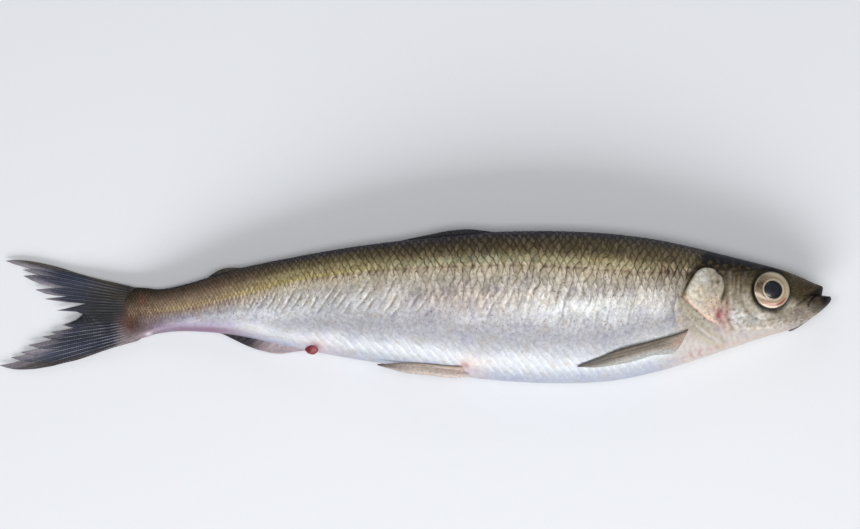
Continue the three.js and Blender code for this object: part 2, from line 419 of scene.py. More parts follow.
def round_turns():
    """Turns round the body, evenly spaced along its girth."""
    fine = np.linspace(0, 1, 4001)
    c = np.cos(2 * np.pi * fine)
    s = np.sin(2 * np.pi * fine)
    y = c * BODY_DEPTH / 2
    z = np.sign(s) * np.abs(s) ** FLANK_ROUNDNESS * BODY_WIDTH / 2
    girth = np.concatenate([[0], np.cumsum(np.hypot(np.diff(y), np.diff(z)))])
    at = np.arange(ROUND_CELLS) / ROUND_CELLS * girth[-1]
    return np.interp(at, girth, fine)


def skin_points(along, turn):
    """Points of the bare skin for every pair of station parameter and turn."""
    back, belly, half, clear = profiles(along[:, None])
    c = np.cos(2 * np.pi * turn)[None, :]
    s = np.sin(2 * np.pi * turn)[None, :]
    middle = mix(back, belly, FLANK_LEVEL)
    edge = np.where((c > 0)[..., None], back, belly)
    flat = middle + (edge - middle) * np.abs(c)[..., None]
    z = half + clear + half * np.sign(s) * np.abs(s) ** FLANK_ROUNDNESS
    return np.concatenate([flat, z[..., None]], -1)


def outward(points):
    """Unit normals of a ring grid, pointing out."""
    lengthwise = np.gradient(points, axis=0)
    wrapped = np.concatenate([points[:, -1:], points, points[:, :1]], 1)
    crosswise = wrapped[:, 2:] - wrapped[:, :-2]
    normal = np.cross(lengthwise, crosswise)
    size = np.linalg.norm(normal, axis=-1, keepdims=True)
    normal = normal / np.maximum(size, 1e-9)
    centre = points.mean(1, keepdims=True)
    facing = np.sign(np.sum(normal * (points - centre), -1).mean())
    return normal * facing


class Skin:
    """The bare skin's grid and the coordinates that relief and colour are worked out from."""

    def __init__(self):
        self.along = station_columns()
        self.turn = round_turns()
        self.points = skin_points(self.along, self.turn)
        self.x = self.points[..., 0]
        self.y = self.points[..., 1]
        self.side = np.where(self.turn < 0.5, 1.0, -1.0)[None, :] * np.ones_like(self.x)
        self.back, self.belly, _, _ = (np.broadcast_to(v, self.x.shape) for v in section_at(self.x))
        self.lateral = lateral_height(self.x)
        self.above = np.clip((self.y - self.lateral) / (self.back - self.lateral), 0, 1)
        self.below = np.clip((self.lateral - self.y) / (self.lateral - self.belly), 0, 1)
        self.cheek = np.clip(np.abs(np.sin(2 * np.pi * self.turn)), 0, 1)[None, :] * np.ones_like(self.x)
        self.girth = self.girth_from_lateral()
        self.row, self.column = self.scale_lattice()

    def girth_from_lateral(self):
        """Distance round the skin from the lateral line, positive towards the back."""
        half = len(self.turn) // 2
        result = np.zeros_like(self.x)
        for picks in (np.arange(half + 1), np.arange(len(self.turn) - 1, half - 1, -1)):
            path = self.points[:, picks]
            steps = np.linalg.norm(np.diff(path[..., 1:], axis=1), axis=-1)
            travelled = np.concatenate([np.zeros((len(path), 1)), np.cumsum(steps, 1)], 1)
            level = self.lateral[:, picks] - self.y[:, picks]
            for r in range(len(path)):
                at = np.interp(0.0, level[r], travelled[r])
                result[r, picks] = at - travelled[r]
        return result

    def scale_lattice(self):
        """Row and column coordinates of the scales. Scales are smaller towards the tail."""
        shrink = np.interp(self.x[:, 0], [0, 25, 60, 90, 135, 160], [0.34, 0.46, 0.84, 1, 0.95, 0.8])
        pitch = np.where(self.girth > 0, BACK_ROW, FLANK_ROW)
        row = self.girth / (pitch * shrink[:, None]) + 0.16 * noise(self.x, self.y, 6.0, 22)
        x = self.points[:, len(self.turn) // 4, 0]
        column = np.concatenate([[0], np.cumsum(-np.diff(x) / (SCALE_PERIOD * shrink[1:]))])
        sway = 0.2 * noise(self.x, self.y, 5.0, 23) + 0.09 * noise(self.x, self.y, 1.9, 24)
        return row, column[:, None] + sway


def scale_edge(row, column):
    """How far each point lies ahead of its scale's free edge, 0 to 1, and the scale's chance."""
    best = np.full(row.shape, 9.0)
    result = np.zeros(row.shape)
    chance = np.zeros(row.shape)
    lower = np.floor(row)
    for near in (lower, lower + 1):
        across = row - near
        reach = SCALE_REACH - SCALE_ARCH * across**2 + ROW_STEP * np.mod(near, 2) - column
        ahead = reach - np.floor(reach)
        key = ahead + SCALE_ARCH * across**2
        luck = np.sin(near * 12.99 + np.floor(reach) * 78.23) * 437.585
        result = np.where(key < best, ahead, result)
        chance = np.where(key < best, luck - np.floor(luck), chance)
        best = np.minimum(key, best)
    return result, chance


# ---- Landmarks of the head, in side view ------------------------------------------------------

GILL_COVER = [(146.9, 2.9), (148.1, 5.6), (149.6, 8.1), (150.9, 9.7), (152.6, 10.5), (154.6, 10.3),
              (156.4, 8.9), (157.8, 7.4), (158.0, 5.4), (157.0, 2.6), (156.4, 0.0), (155.6, -3.9),
              (153.2, -2.8), (150.5, -0.3)]
GILL_COVER_REAR = [(155.2, 10.7), (152.4, 10.8), (150.4, 9.8), (149.1, 8.0), (147.7, 5.6), (146.6, 3.0)]
GILL_COVER_FRONT = [(156.2, 9.6), (158.0, 8.0), (158.4, 5.4), (157.3, 2.4)]
GILL_COVER_LOW = [(146.9, 2.7), (150.4, -0.5), (153.2, -3.0), (155.8, -4.2)]
CHEEK_RIDGE = [(159.4, 9.0), (159.6, 3.0), (160.0, -1.5), (161.2, -4.9), (165, -5.5), (170.5, -5.2)]
CHEEK_GROOVE = [(157.6, 9.0), (158.6, 4.0), (158.8, -2.0), (160.2, -5.6)]
SOCKET_RIM = [(163.5, 9.2), (162.3, 4.5), (163.7, -0.6), (168.0, -3.3), (173.0, -2.6)]
UPPER_LIP = [(183.2, 5.6), (182.0, 4.2), (180.5, 3.0), (178.9, 1.7), (177.3, 0.7)]
GAPE = [(184.6, 3.3), (182.6, 3.1), (181.2, 2.2), (180.3, 0.6)]
JAW_PLATE = [(181.8, 3.2), (179.8, 2.4), (176.8, 0.4), (173.8, -1.9), (173.4, -4.0), (175.6, -4.3),
             (178.4, -2.0), (180.4, 0.2)]
JAW_GROOVE = [(180.8, 0.8), (179.0, -2.3), (176.0, -4.9), (171.0, -6.6)]
THROAT_GROOVE = [(176.5, -6.0), (168.5, -7.6), (160.5, -9.6), (153.8, -11.2)]
SUBOPERCLE_EDGE = [(145.9, 3.2), (147.6, -1.6), (151.5, -6.2), (156.5, -9.4)]
SHOULDER = [(150.2, 11.6), (147.4, 8.4), (145.6, 3.8), (144.6, -1.0), (145.8, -5.6)]
NOSTRIL = (179.4, 7.4)
GROOVES = [  # line, depth and half width
    (GILL_COVER_REAR, 0.5, 0.32),
    (GILL_COVER_FRONT, 0.35, 0.5),
    (GILL_COVER_LOW, 0.22, 0.32),
    (CHEEK_GROOVE, 0.26, 0.5),
    (SOCKET_RIM, 0.16, 0.35),
    (UPPER_LIP, 0.2, 0.3),
    (GAPE, 0.5, 0.22),
    (JAW_GROOVE, 0.22, 0.35),
    (THROAT_GROOVE, 0.14, 0.5),
    (SHOULDER, 0.1, 0.45),
]


def head_relief(skin):
    """How far the skin stands out from the smooth head, in millimetres."""
    x, y = skin.x, skin.y
    relief = np.zeros_like(x)
    from_eye = np.hypot(x - EYE_CENTRE[0], y - EYE_CENTRE[1])
    relief -= 1.6 * (1 - smooth(EYE_RADIUS - 0.6, EYE_RADIUS + 0.15, from_eye))
    relief -= 0.42 * bell(from_eye - EYE_RADIUS - 0.25, 0.55)
    relief += 0.22 * bell(from_eye - EYE_RADIUS - 1.25, 0.7)

    for line, depth, width in GROOVES:
        relief -= depth * stroke(x, y, line, width)
    cover = depth_inside(x, y, GILL_COVER)
    relief += 0.42 * smooth(-0.12, 0.7, cover) + 0.15 * smooth(0.5, 3.5, cover)
    relief += 0.22 * stroke(x, y, CHEEK_RIDGE, 0.55) * (0.75 + 0.25 * noise(x, y, 2.2, 47))
    plate = depth_inside(x, y, JAW_PLATE)
    relief += 0.16 * smooth(-0.3, 0.6, plate)
    wrinkles = noise(x * 0.5 + y * 0.9, y * 0.9 - x * 0.4, 0.9, 48)
    relief += 0.05 * wrinkles * smooth(171, 176, x) * smooth(0, -2, y)
    edge, at = distance_to(x, y, SUBOPERCLE_EDGE)
    relief -= 0.2 * bell(edge, 0.4) * (0.7 + 0.3 * np.cos(9 * at))
    relief -= 0.35 * spot(x, y, *NOSTRIL, 0.55, 1.6)
    relief += 0.06 * noise(x, y, 2.4, 3) * smooth(146, 150, x)
    cheek_lines = noise(x * 1.6, y * 0.5, 1.2, 49)
    relief += 0.05 * cheek_lines * smooth(145, 148, x) * smooth(168, 163, x) * smooth(8, 5, y)
    return relief * smooth(0.1, 0.45, skin.cheek)


def scale_cover(skin):
    """1 where scales grow, 0 on the head and at the tail fin's root."""
    front = distance_front(skin.y)
    return smooth(-0.6, 0.6, front - skin.x) * smooth(-3.0, 1.5, skin.x)


def distance_front(y):
    """Where the scales start behind the head, at each height."""
    return np.interp(y, [-16, -10, -5, 3, 9, 12, 17], [143, 145, 145.5, 145.8, 148.2, 151, 154])


def trunk_relief(skin, ahead, chance):
    x, y = skin.x, skin.y
    lift = ((1 - ahead) ** 1.5 - 0.4) * (0.6 + 0.8 * chance)
    strength = mix(1.0, 0.15, smooth(0.0, 0.4, skin.below)) * (1 - 0.6 * folded_share(skin))
    relief = SCALE_RELIEF * strength * lift * scale_cover(skin)
    line = skin.y - skin.lateral
    relief -= 0.05 * bell(line, 0.35) * scale_cover(skin) * smooth(50, 70, x)
    relief += flank_folds(skin) * 0.05 + belly_folds(skin) * 0.035
    relief += 0.09 * noise(x, y, 11, 5) * skin.cheek
    return relief


def flank_folds(skin, shift=0.0):
    """Fine slanting folds over the muscle blocks of the flank, as a wave of -1 to 0."""
    x, y = skin.x, skin.y
    place_on = smooth(0.03, 0.12, skin.below) * smooth(0.6, 0.4, skin.below)
    reach = smooth(18, 40, x) * smooth(143, 128, x) * (1 - 0.5 * bell(x - 86, 10))
    patchy = smooth(-0.9, 0.5, noise(x, y, 7.0, 33))
    down = skin.lateral - y
    lean = np.interp(x, [50, 100, 125], [0.75, 0.5, 0.2])
    slant = x + shift + lean * down + 0.45 * noise(x, y, 9, 31) + 0.12 * noise(x, y, 3, 34)
    wave = np.cos(2 * np.pi * slant / FLANK_FOLD_PITCH)
    return -smooth(0.55, 1.0, wave) * place_on * reach * patchy


def folded_share(skin):
    """1 where the flank's folds hide the scales' own edges."""
    return bell(skin.x - 58, 20) * smooth(0.02, 0.1, skin.below) * smooth(0.6, 0.4, skin.below)


def belly_folds(skin, shift=0.0):
    """Scale edges that slant the other way over the belly, as a wave of -1 to 0."""
    place_on = smooth(0.6, 0.72, skin.below) * smooth(0.99, 0.9, skin.below)
    reach = smooth(30, 60, skin.x) * smooth(143, 134, skin.x)
    down = skin.lateral - skin.y
    slant = skin.x + shift - 0.85 * down + 0.45 * noise(skin.x, skin.y, 5, 32)
    wave = np.cos(2 * np.pi * slant / BELLY_FOLD_PITCH)
    return -smooth(0.6, 1.0, wave) * place_on * reach


# ---- Skin: colour -----------------------------------------------------------------------------


def skin_tint(skin):
    """The skin's colour for every grid point, with painted highlights, painted shade in the flank's folds and
    a painted dark reflection along the back's edge.
    """
    x, y = skin.x, skin.y
    back = ramp(skin.above, BACK_COLOURS)
    flank = ramp(skin.below, FLANK_COLOURS)
    tint = mix(flank, back, smooth(-0.5, 0.3, y - skin.lateral)[..., None])
    low = skin.below
    beneath = smooth(0.0, 0.03, low)
    rear = smooth(75, 55, x)
    minty = 0.3 + 0.2 * noise(x, y, 2.2, 34)
    uneven_share = 0.35 + 0.3 * noise(x, y, 3.0, 35)
    # How strong the painted highlight streaks on the belly are, uneven along their length.
    belly_highlight_share = 0.22 + 0.2 * noise(x, y, 3.5, 38)
    rosy = spot(x, y, 89.2, -15.2, 1.4, 1.2) * (0.75 + 0.25 * noise(x, y, 1.6, 37))
    tint = blend_colours(tint, [
        ((164, 146, 128), 0.6 * beneath * bell(x - 88, 15) * bell(low - 0.28, 0.13)),
        ((152, 148, 154), 0.5 * beneath * bell(x - 80, 17) * bell(low - 0.36, 0.12)),
        ((150, 146, 146), 0.3 * beneath * bell(x - 104, 9) * bell(low - 0.25, 0.08)),
        ((146, 184, 162), minty * bell(x - 92, 20) * bell(skin.above - 0.2, 0.12) * (low <= 0)),
        # A painted highlight band along the middle of the flank.
        ((224, 230, 232), 0.6 * bell(x - 120, 9) * bell(low - 0.34, 0.09)),
        # A painted highlight band along the middle of the tail stalk's flank.
        ((228, 232, 238), 0.95 * bell(x - 36, 13) * bell(low - 0.48, 0.13)),
        # A painted highlight band on the belly behind the head.
        ((224, 226, 228), 0.7 * smooth(128, 140, x) * bell(low - 0.66, 0.1)),
        ((82, 76, 62), 0.8 * smooth(130, 145, x) * bell(y - 9.4, 3.2)),
        ((70, 68, 60), 0.5 * smooth(124, 140, x) * bell(skin.above - 0.84, 0.12)),
        ((190, 178, 130), 0.8 * rear * bell(skin.above - 0.36, 0.16)),
        ((122, 108, 74), 0.6 * rear * bell(skin.above - 0.62, 0.14)),
        ((198, 182, 100), 0.75 * rear * bell(skin.above - 0.08, 0.12) * (low <= 0)),
        ((132, 120, 88), 0.3 * smooth(105, 122, x) * bell(skin.above - 0.66, 0.18)),
        ((150, 144, 146), 0.3 * beneath * bell(x - 88, 10) * bell(low - 0.32, 0.08)),
        ((140, 134, 122), 0.4 * smooth(139, 143, x) * bell(low - 0.24, 0.12)),
        ((140, 112, 100), 0.75 * smooth(46, 18, x) * bell(low - 0.04, 0.16)),
        ((130, 120, 142), 0.5 * smooth(30, 12, x) * smooth(0.5, 0.75, low)),
        ((148, 130, 146), 0.8 * smooth(38, 8, x) * smooth(0.02, 0.4, low)),
        # Painted bluish-white glints on the tail stalk's flank.
        ((196, 200, 214), 0.6 * bell(x - 20, 9) * bell(low - 0.48, 0.13)),
        ((112, 88, 94), 0.4 * smooth(42, 20, x) * beneath * bell(low - 0.08, 0.14)),
        # More painted highlight along the tail stalk's flank.
        ((236, 238, 242), 0.7 * bell(x - 33, 11) * bell(low - 0.46, 0.08)),
        ((112, 108, 142), 0.4 * smooth(34, 22, x) * smooth(0.56, 0.7, low)),
        ((136, 84, 110), 0.55 * bell(x - 22, 10) * bell(low - 0.92, 0.12)),
        ((50, 43, 27), 0.75 * smooth(50, 26, x) * smooth(0.42, 0.9, skin.above)),
        # Near-black along the back's edge at the tail stalk: partly the back's own dark colour and partly a
        # painted dark reflection.
        ((18, 20, 30), 0.8 * smooth(60, 40, x) * smooth(0.86, 0.96, skin.above)),
        ((222, 178, 180), 0.25 * bell(x - 51, 6) * smooth(0.72, 0.95, low)),
        ((140, 56, 58), 0.7 * spot(x, y, 49.3, -10.6, 1.5, 1.1)),
        ((124, 94, 92), uneven_share * bell(y - skin.lateral, 0.34) * smooth(44, 64, x)),
        # Painted shade in the creases of the flank's folds.
        ((92, 80, 64), 0.45 * smooth(0.3, 1.0, -flank_folds(skin))),
        # A painted highlight running beside each fold.
        ((240, 238, 236), 0.4 * smooth(0.1, 1.0, -flank_folds(skin, 0.7))),
        # Thin lines on the belly's slanting scale edges: partly their own colour and partly painted shade in
        # their folds.
        ((150, 150, 168), 0.22 * smooth(0.2, 1.0, -belly_folds(skin))),
        # Painted highlight streaks beside the belly's slanting scale edges.
        ((240, 242, 246), belly_highlight_share * smooth(0.1, 1.0, -belly_folds(skin, 0.8))),
        ((214, 192, 184), 0.5 * spot(x, y, 91, -16.2, 4.0) * (skin.side > 0)),
        ((150, 92, 76), 0.7 * rosy * (skin.side > 0)),
    ])
    tint = paint_tail_root(skin, tint)
    return paint_head(skin, tint)


def root_colours(x, y):
    """Colours of the fleshy root of the tail fin: brown, red-brown and pink, with a painted highlight."""
    root = ramp(np.clip((y + 9) / 14, 0, 1), [
        (0.0, (156, 144, 147)),
        (0.1, (134, 118, 119)),
        (0.28, (104, 78, 70)),
        (0.45, (118, 90, 80)),
        (0.62, (108, 92, 76)),
        (0.8, (58, 49, 33)),
        (1.0, (22, 20, 18)),
    ])
    return blend_colours(root, [
        ((112, 70, 56), 0.55 * spot(x, y, -0.3, -4.2, 1.8, 0.8)),
        ((116, 68, 58), 0.6 * spot(x, y, 3.2, 1.4, 1.5, 0.8)),
        ((34, 31, 32), 0.9 * smooth(1.0, -2.6, x) * bell(y + 0.6, 3.4)),
        ((140, 124, 128), 0.6 * spot(x, y, 4.5, -4.9, 2.0, 0.9)),
        # A painted white highlight on the lower root.
        ((216, 212, 218), 0.9 * spot(x, y, 5.2, -7.3, 0.9, 1.5)),
    ])


def paint_tail_root(skin, trunk):
    """The last scales thin out over the root of the tail fin."""
    share = 0.95 * smooth(12, 1, skin.x + 0.8 * noise(skin.x, skin.y, 3.0, 36))
    return mix(trunk, root_colours(skin.x, skin.y), share[..., None])


def paint_head(skin, trunk):
    x, y = skin.x, skin.y
    head = ramp(np.clip((y + 10) / 22, 0, 1), [
        (0.0, (194, 186, 181)),
        (0.18, (188, 180, 174)),
        (0.3, (194, 188, 176)),
        (0.55, (184, 176, 156)),
        (0.72, (134, 122, 92)),
        (0.84, (80, 70, 50)),
        (1.0, (44, 40, 38)),
    ])
    crown = y - np.interp(x, [143, 150, 157, 163, 170, 176, 180, 187], [9, 11, 10.4, 9.6, 8.6, 2.0, 0.5, 1.5])
    flecks = smooth(0.0, 0.7, noise(x, y, 1.5, 41) + 0.5 * noise(x, y, 0.8, 42)) * smooth(3.6, 1.4, crown)
    share = (y - skin.belly) / (skin.back - skin.belly)
    cover = depth_inside(x, y, GILL_COVER)
    uneven_share = 0.6 + 0.4 * noise(x, y, 1.4, 50)
    streaks = smooth(-0.5, 0.9, noise(x * 1.1, y * 0.35, 1.5, 51))
    ahead_of_cover = smooth(157.0, 158.0, x) * (cover < 0)
    pale = ahead_of_cover * smooth(165.5, 160.5, x) * smooth(-6.5, -4.0, y) * smooth(9.5, 7.0, y)
    gill = bell(np.hypot(x - 157.0 + 0.12 * (y + 2), (y + 2.4) * 0.55), 1.5)
    pink = spot(x, y, 158.6, -1.6, 1.7, 0.5, 1.2) * ahead_of_cover
    ridge_share = mix(0.35, 0.8, smooth(2.0, -3.0, y)) * (0.75 + 0.25 * noise(x, y, 2.0, 43))
    rim_share = 0.3 + 0.2 * noise(x, y, 1.6, 44)
    silver = spot(x, y, 161.4, -2.4, 2.2, 1.2) + 0.6 * spot(x, y, 167.5, -3.0, 1.1, 1, 0.7)
    blotch = smooth(0.15, 0.9, noise(x, y, 1.7, 46)) * smooth(-6.5, -4.0, y) * smooth(1.0, -1.0, crown)
    eye_x, eye_y = EYE_CENTRE
    from_eye = np.hypot(x - eye_x, y - eye_y)
    below_eye = spot(x, y, 172.2, -1.6, 1.6, 1, 0.6)
    shaded_side = 0.55 + 0.4 * smooth(0.6, -0.6, ((x - eye_x) + (y - eye_y)) / 7.0)
    snout = smooth(174.5, 178.5, x + 0.5 * (y - 4)) * smooth(-1.0, 2.5, y - (0.9 * (x - 179) + 0.6))
    jaw = depth_inside(x, y, JAW_PLATE)
    front = smooth(177.5, 182.5, x + 0.45 * y)
    wrinkle = smooth(0.0, 0.9, noise(x * 0.5 + y * 0.9, y * 1.1 - x * 0.5, 0.9, 48))
    lip = distance_to(x, y, UPPER_LIP)[0]
    sore = smooth(-0.3, 0.8, noise(x, y, 2.0, 52)) * bell(x - 150.5, 4.5) * bell(share - 0.05, 0.05)
    seen = smooth(0.12, 0.3, skin.cheek)
    head = blend_colours(head, [
        ((52, 48, 30), 0.92 * smooth(-1.0, 1.2, crown)),
        ((140, 118, 66), 0.6 * flecks * smooth(-0.6, 0.8, crown) * smooth(176, 166, x)),
        # Dark blue along the crown's edge: partly its own dark colour and partly a painted dark blue
        # reflection.
        ((16, 18, 36), 0.9 * smooth(0.83, 0.95, share) * smooth(178, 168, x)),
        ((222, 212, 192), 0.92 * smooth(-0.3, 0.4, cover)),
        ((242, 242, 236), 0.9 * spot(x, y, 151.7, 8.3, 1.9, 0.8) * (cover > 0)),
        ((246, 240, 222), 0.9 * spot(x, y, 149.2, 5.2, 1.9, 0.5) * (cover > 0)),
        ((226, 190, 172), 0.5 * spot(x, y, 154.6, -0.4, 2.2, 0.7) * (cover > 0)),
        # Darker brown-grey patches on the gill cover's upper front, uneven in strength.
        ((112, 98, 78), 0.7 * uneven_share * spot(x, y, 155.4, 6.8, 2.0, 0.8)),
        ((92, 78, 58), 0.5 * uneven_share * spot(x, y, 156.8, 7.4, 1.3, 0.8)),
        ((46, 38, 26), 0.95 * stroke(x, y, GILL_COVER_REAR, 0.32)),
        ((40, 34, 24), 0.9 * stroke(x, y, GILL_COVER_FRONT, 0.55)),
        ((226, 214, 198), 0.4 * streaks * pale),
        ((112, 94, 74), 0.35 * (1 - streaks) * pale * smooth(0.0, 5.0, y)),
        ((222, 166, 158), 0.7 * gill),
        ((212, 148, 142), 0.75 * pink * (0.4 + 0.6 * streaks)),
        ((146, 66, 80), 0.85 * spot(x, y, 156.2, -2.0, 0.9, 0.6)),
        ((238, 196, 186), 0.7 * stroke(x, y, GILL_COVER_LOW, 0.4)),
        ((226, 218, 206), ridge_share * stroke(x, y, CHEEK_RIDGE, 0.5)),
        ((120, 104, 82), 0.5 * stroke(x, y, CHEEK_GROOVE, 0.45)),
        ((112, 112, 112), rim_share * stroke(x, y, SOCKET_RIM, 0.35)),
        # Silver-white on the lower cheek: partly its own colour and partly a painted sheen.
        ((242, 244, 244), np.clip(silver, 0, 1) * (0.75 + 0.25 * noise(x, y, 1.5, 45))),
        ((176, 174, 170), 0.7 * spot(x, y, 165.2, -3.7, 1.4, 0.8)),
        ((122, 108, 84), 0.45 * blotch * (cover < 0)),
        ((170, 162, 132), 0.5 * bell(distance_to(x, y, SUBOPERCLE_EDGE)[0] - 1.2, 0.8)),
        ((104, 90, 74), 0.7 * below_eye),
        ((26, 20, 14), shaded_side * bell(from_eye - EYE_RADIUS - 0.15, 0.5)),
        ((92, 80, 52), 0.9 * snout),
        ((140, 124, 108), 0.5 * smooth(-0.5, 0.8, jaw)),
        ((124, 110, 102), 0.6 * spot(x, y, 178.4, -2.4, 2.6, 1.2)),
        ((112, 98, 86), 0.5 * wrinkle * smooth(172, 177, x) * smooth(-8.0, -4.0, y)),
        ((64, 54, 44), mix(0.85, 0.4, smooth(2.5, 4.0, y)) * front * smooth(-4.5, 0.0, y)),
        ((38, 32, 30), 0.8 * smooth(182.0, 184.0, x) * smooth(2.6, 3.2, y)),
        ((22, 18, 19), 0.92 * smooth(182.6, 184.8, x) * smooth(-1.2, 1.2, y) * smooth(3.4, 2.8, y)),
        ((150, 140, 122), 0.6 * bell(lip - 0.55, 0.22) * smooth(0.0, -1.0, y - x + 178.2)),
        ((44, 34, 26), 0.65 * bell(lip, 0.26)),
        ((30, 20, 16), 0.9 * stroke(x, y, GAPE, 0.28)),
        ((206, 156, 146), 0.2 * stroke(x, y, THROAT_GROOVE, 0.4)),
        ((166, 80, 88), 0.4 * sore * seen),
        ((216, 196, 176), 0.35 * bell(x - 145.5, 3.0) * bell(y + 2.4, 4.0)),
    ])
    blur = np.interp(y, [-12, -5, 2], [5.0, 2.4, 1.2])
    ragged = 0.8 * noise(x, y, 2.4, 53)
    on_head = smooth(-1.0, 1.0, (x + ragged - distance_front(y)) / blur)
    return mix(trunk, head, on_head[..., None])


def skin_finish(skin):
    """Scale outline strength, silver (metallic) and speck strength, for every grid point. The outline
    strength also sets how strong the painted shadow under each scale edge and the painted highlight in each
    scale are.
    """
    cover = scale_cover(skin)
    outline = np.interp(skin.below, [0, 0.12, 0.28, 0.4, 0.6, 1], [1.0, 0.8, 0.5, 0.2, 0.06, 0.04])
    outline = np.where(skin.above > 0, np.interp(skin.above, [0, 0.3, 1], [1.0, 0.95, 0.4]), outline)
    outline = outline * np.interp(skin.x, [0, 20, 55], [0.45, 0.55, 1.0]) * (1 - 0.6 * folded_share(skin))
    silver = np.interp(skin.below, [0, 0.25, 0.6, 0.8, 1], [0.15, 0.35, 0.35, 0.25, 0.2])
    silver = np.where(skin.above > 0, np.interp(skin.above, [0, 0.4, 1], [0.15, 0.05, 0.0]), silver)
    silver = mix(0.08, silver, cover)
    specks = np.interp(skin.below, [0, 0.5, 0.8], [1.0, 0.8, 0.1]) * (skin.above <= 0)
    specks = mix(0.9 * smooth(-7.0, -4.0, skin.y), specks, cover)
    return np.stack([outline * cover, silver, specks], -1)


def outline_lean(skin):
    """Which halves of the scale edges show most: 1 the upper ones, -1 the lower ones."""
    over = np.interp(skin.x, [95, 125], [-0.8, 0.7])
    return np.where(skin.above > 0, over, np.interp(skin.below, [0, 0.5, 0.7], [0.4, 0.3, -1]))


# ---- Materials --------------------------------------------------------------------------------


class Value:
    """A node's number output. Arithmetic on it adds math nodes."""

    def __init__(self, nodes, socket):
        self.nodes = nodes
        self.socket = socket

    def __add__(self, other):
        return self.nodes.math("ADD", self, other)

    def __radd__(self, other):
        return self.nodes.math("ADD", other, self)

    def __sub__(self, other):
        return self.nodes.math("SUBTRACT", self, other)

    def __rsub__(self, other):
        return self.nodes.math("SUBTRACT", other, self)

    def __mul__(self, other):
        return self.nodes.math("MULTIPLY", self, other)


class Nodes:
    """A short way to write a node material: each call adds a node and gives its output."""

    def __init__(self, name):
        self.material = bpy.data.materials.new(name)
        self.material.use_nodes = True
        self.tree = self.material.node_tree
        self.shader = self.tree.nodes["Principled BSDF"]

    def node(self, kind, **settings):
        made = self.tree.nodes.new(kind)
        for key, value in settings.items():
            setattr(made, key, value)
        return made

    def feed(self, socket, value):
        if isinstance(value, Value):
            value = value.socket
        if isinstance(value, bpy.types.NodeSocket):
            self.tree.links.new(value, socket)
        else:
            socket.default_value = value

    def math(self, operation, *values, clamp=False):
        made = self.node("ShaderNodeMath", operation=operation, use_clamp=clamp)
        for socket, value in zip(made.inputs, values):
            self.feed(socket, value)
        return Value(self, made.outputs[0])

    def between(self, value, low, high):
        made = self.node("ShaderNodeMapRange", interpolation_type="SMOOTHSTEP")
        for key, entry in (("Value", value), ("From Min", low), ("From Max", high)):
            self.feed(made.inputs[key], entry)
        return Value(self, made.outputs[0])

    def mix(self, share, a, b, mode="MIX"):
        made = self.node("ShaderNodeMix", data_type="RGBA", blend_type=mode)
        for socket, value in ((made.inputs[0], share), (made.inputs[6], a), (made.inputs[7], b)):
            self.feed(socket, value)
        return made.outputs[2]

    def attribute(self, name):
        return self.node("ShaderNodeAttribute", attribute_name=name)

    def parts(self, vector):
        made = self.node("ShaderNodeSeparateXYZ")
        self.feed(made.inputs[0], vector)
        return [Value(self, output) for output in made.outputs]

    def millimetres(self):
        """The place on the object, in millimetres."""
        where = self.node("ShaderNodeTexCoord").outputs["Object"]
        scaled = self.node("ShaderNodeVectorMath", operation="SCALE")
        self.feed(scaled.inputs[0], where)
        scaled.inputs["Scale"].default_value = 1000
        return scaled.outputs[0]

    def texture(self, kind, where, **inputs):
        made = self.node(kind)
        self.feed(made.inputs["Vector"], where)
        for key, value in inputs.items():
            made.inputs[key].default_value = value
        return made.outputs

    def noise(self, where, pitch, detail=3.0, roughness=0.55):
        inputs = {"Scale": 1 / pitch, "Detail": detail, "Roughness": roughness}
        return Value(self, self.texture("ShaderNodeTexNoise", where, **inputs)["Fac"])

    def voronoi(self, where, pitch):
        outputs = self.texture("ShaderNodeTexVoronoi", where, Scale=1 / pitch)
        return outputs["Distance"], outputs["Color"]

    def chance(self, row, index):
        """A random number for each whole row and index."""
        cell = self.node("ShaderNodeCombineXYZ")
        self.feed(cell.inputs[0], row)
        self.feed(cell.inputs[1], index)
        return Value(self, self.texture("ShaderNodeTexWhiteNoise", cell.outputs[0])["Value"])

    def bump(self, height, distance_mm, normal=None):
        made = self.node("ShaderNodeBump")
        self.feed(made.inputs["Height"], height)
        made.inputs["Strength"].default_value = 1.0
        made.inputs["Distance"].default_value = distance_mm / 1000
        if normal is not None:
            self.feed(made.inputs["Normal"], normal)
        return made.outputs[0]

    def set(self, **values):
        for key, value in values.items():
            self.feed(self.shader.inputs[key.replace("_", " ").title().replace("Ior", "IOR")], value)
        return self.material


def rgba(colour):
    return (*linear(colour).tolist(), 1.0)


def lattice_nodes(nodes, row, column):
    """The scale pattern of scale_edge in nodes: ahead of the edge, across the row, and chance."""
    lower = nodes.math("FLOOR", row)
    picks = []
    for near in (lower, lower + 1.0):
        across = row - near
        curved = across * across * SCALE_ARCH
        step = nodes.math("FLOORED_MODULO", near, 2.0) * ROW_STEP
        reach = SCALE_REACH - curved + step - column
        ahead = nodes.math("FRACT", reach)
        picks.append((ahead + curved, ahead, across, near, nodes.math("FLOOR", reach)))
    first, second = picks
    choose = nodes.math("LESS_THAN", second[0], first[0])
    ahead, across, near, index = (a + (b - a) * choose for a, b in zip(first[1:], second[1:]))
    return ahead, across, nodes.chance(near, index)


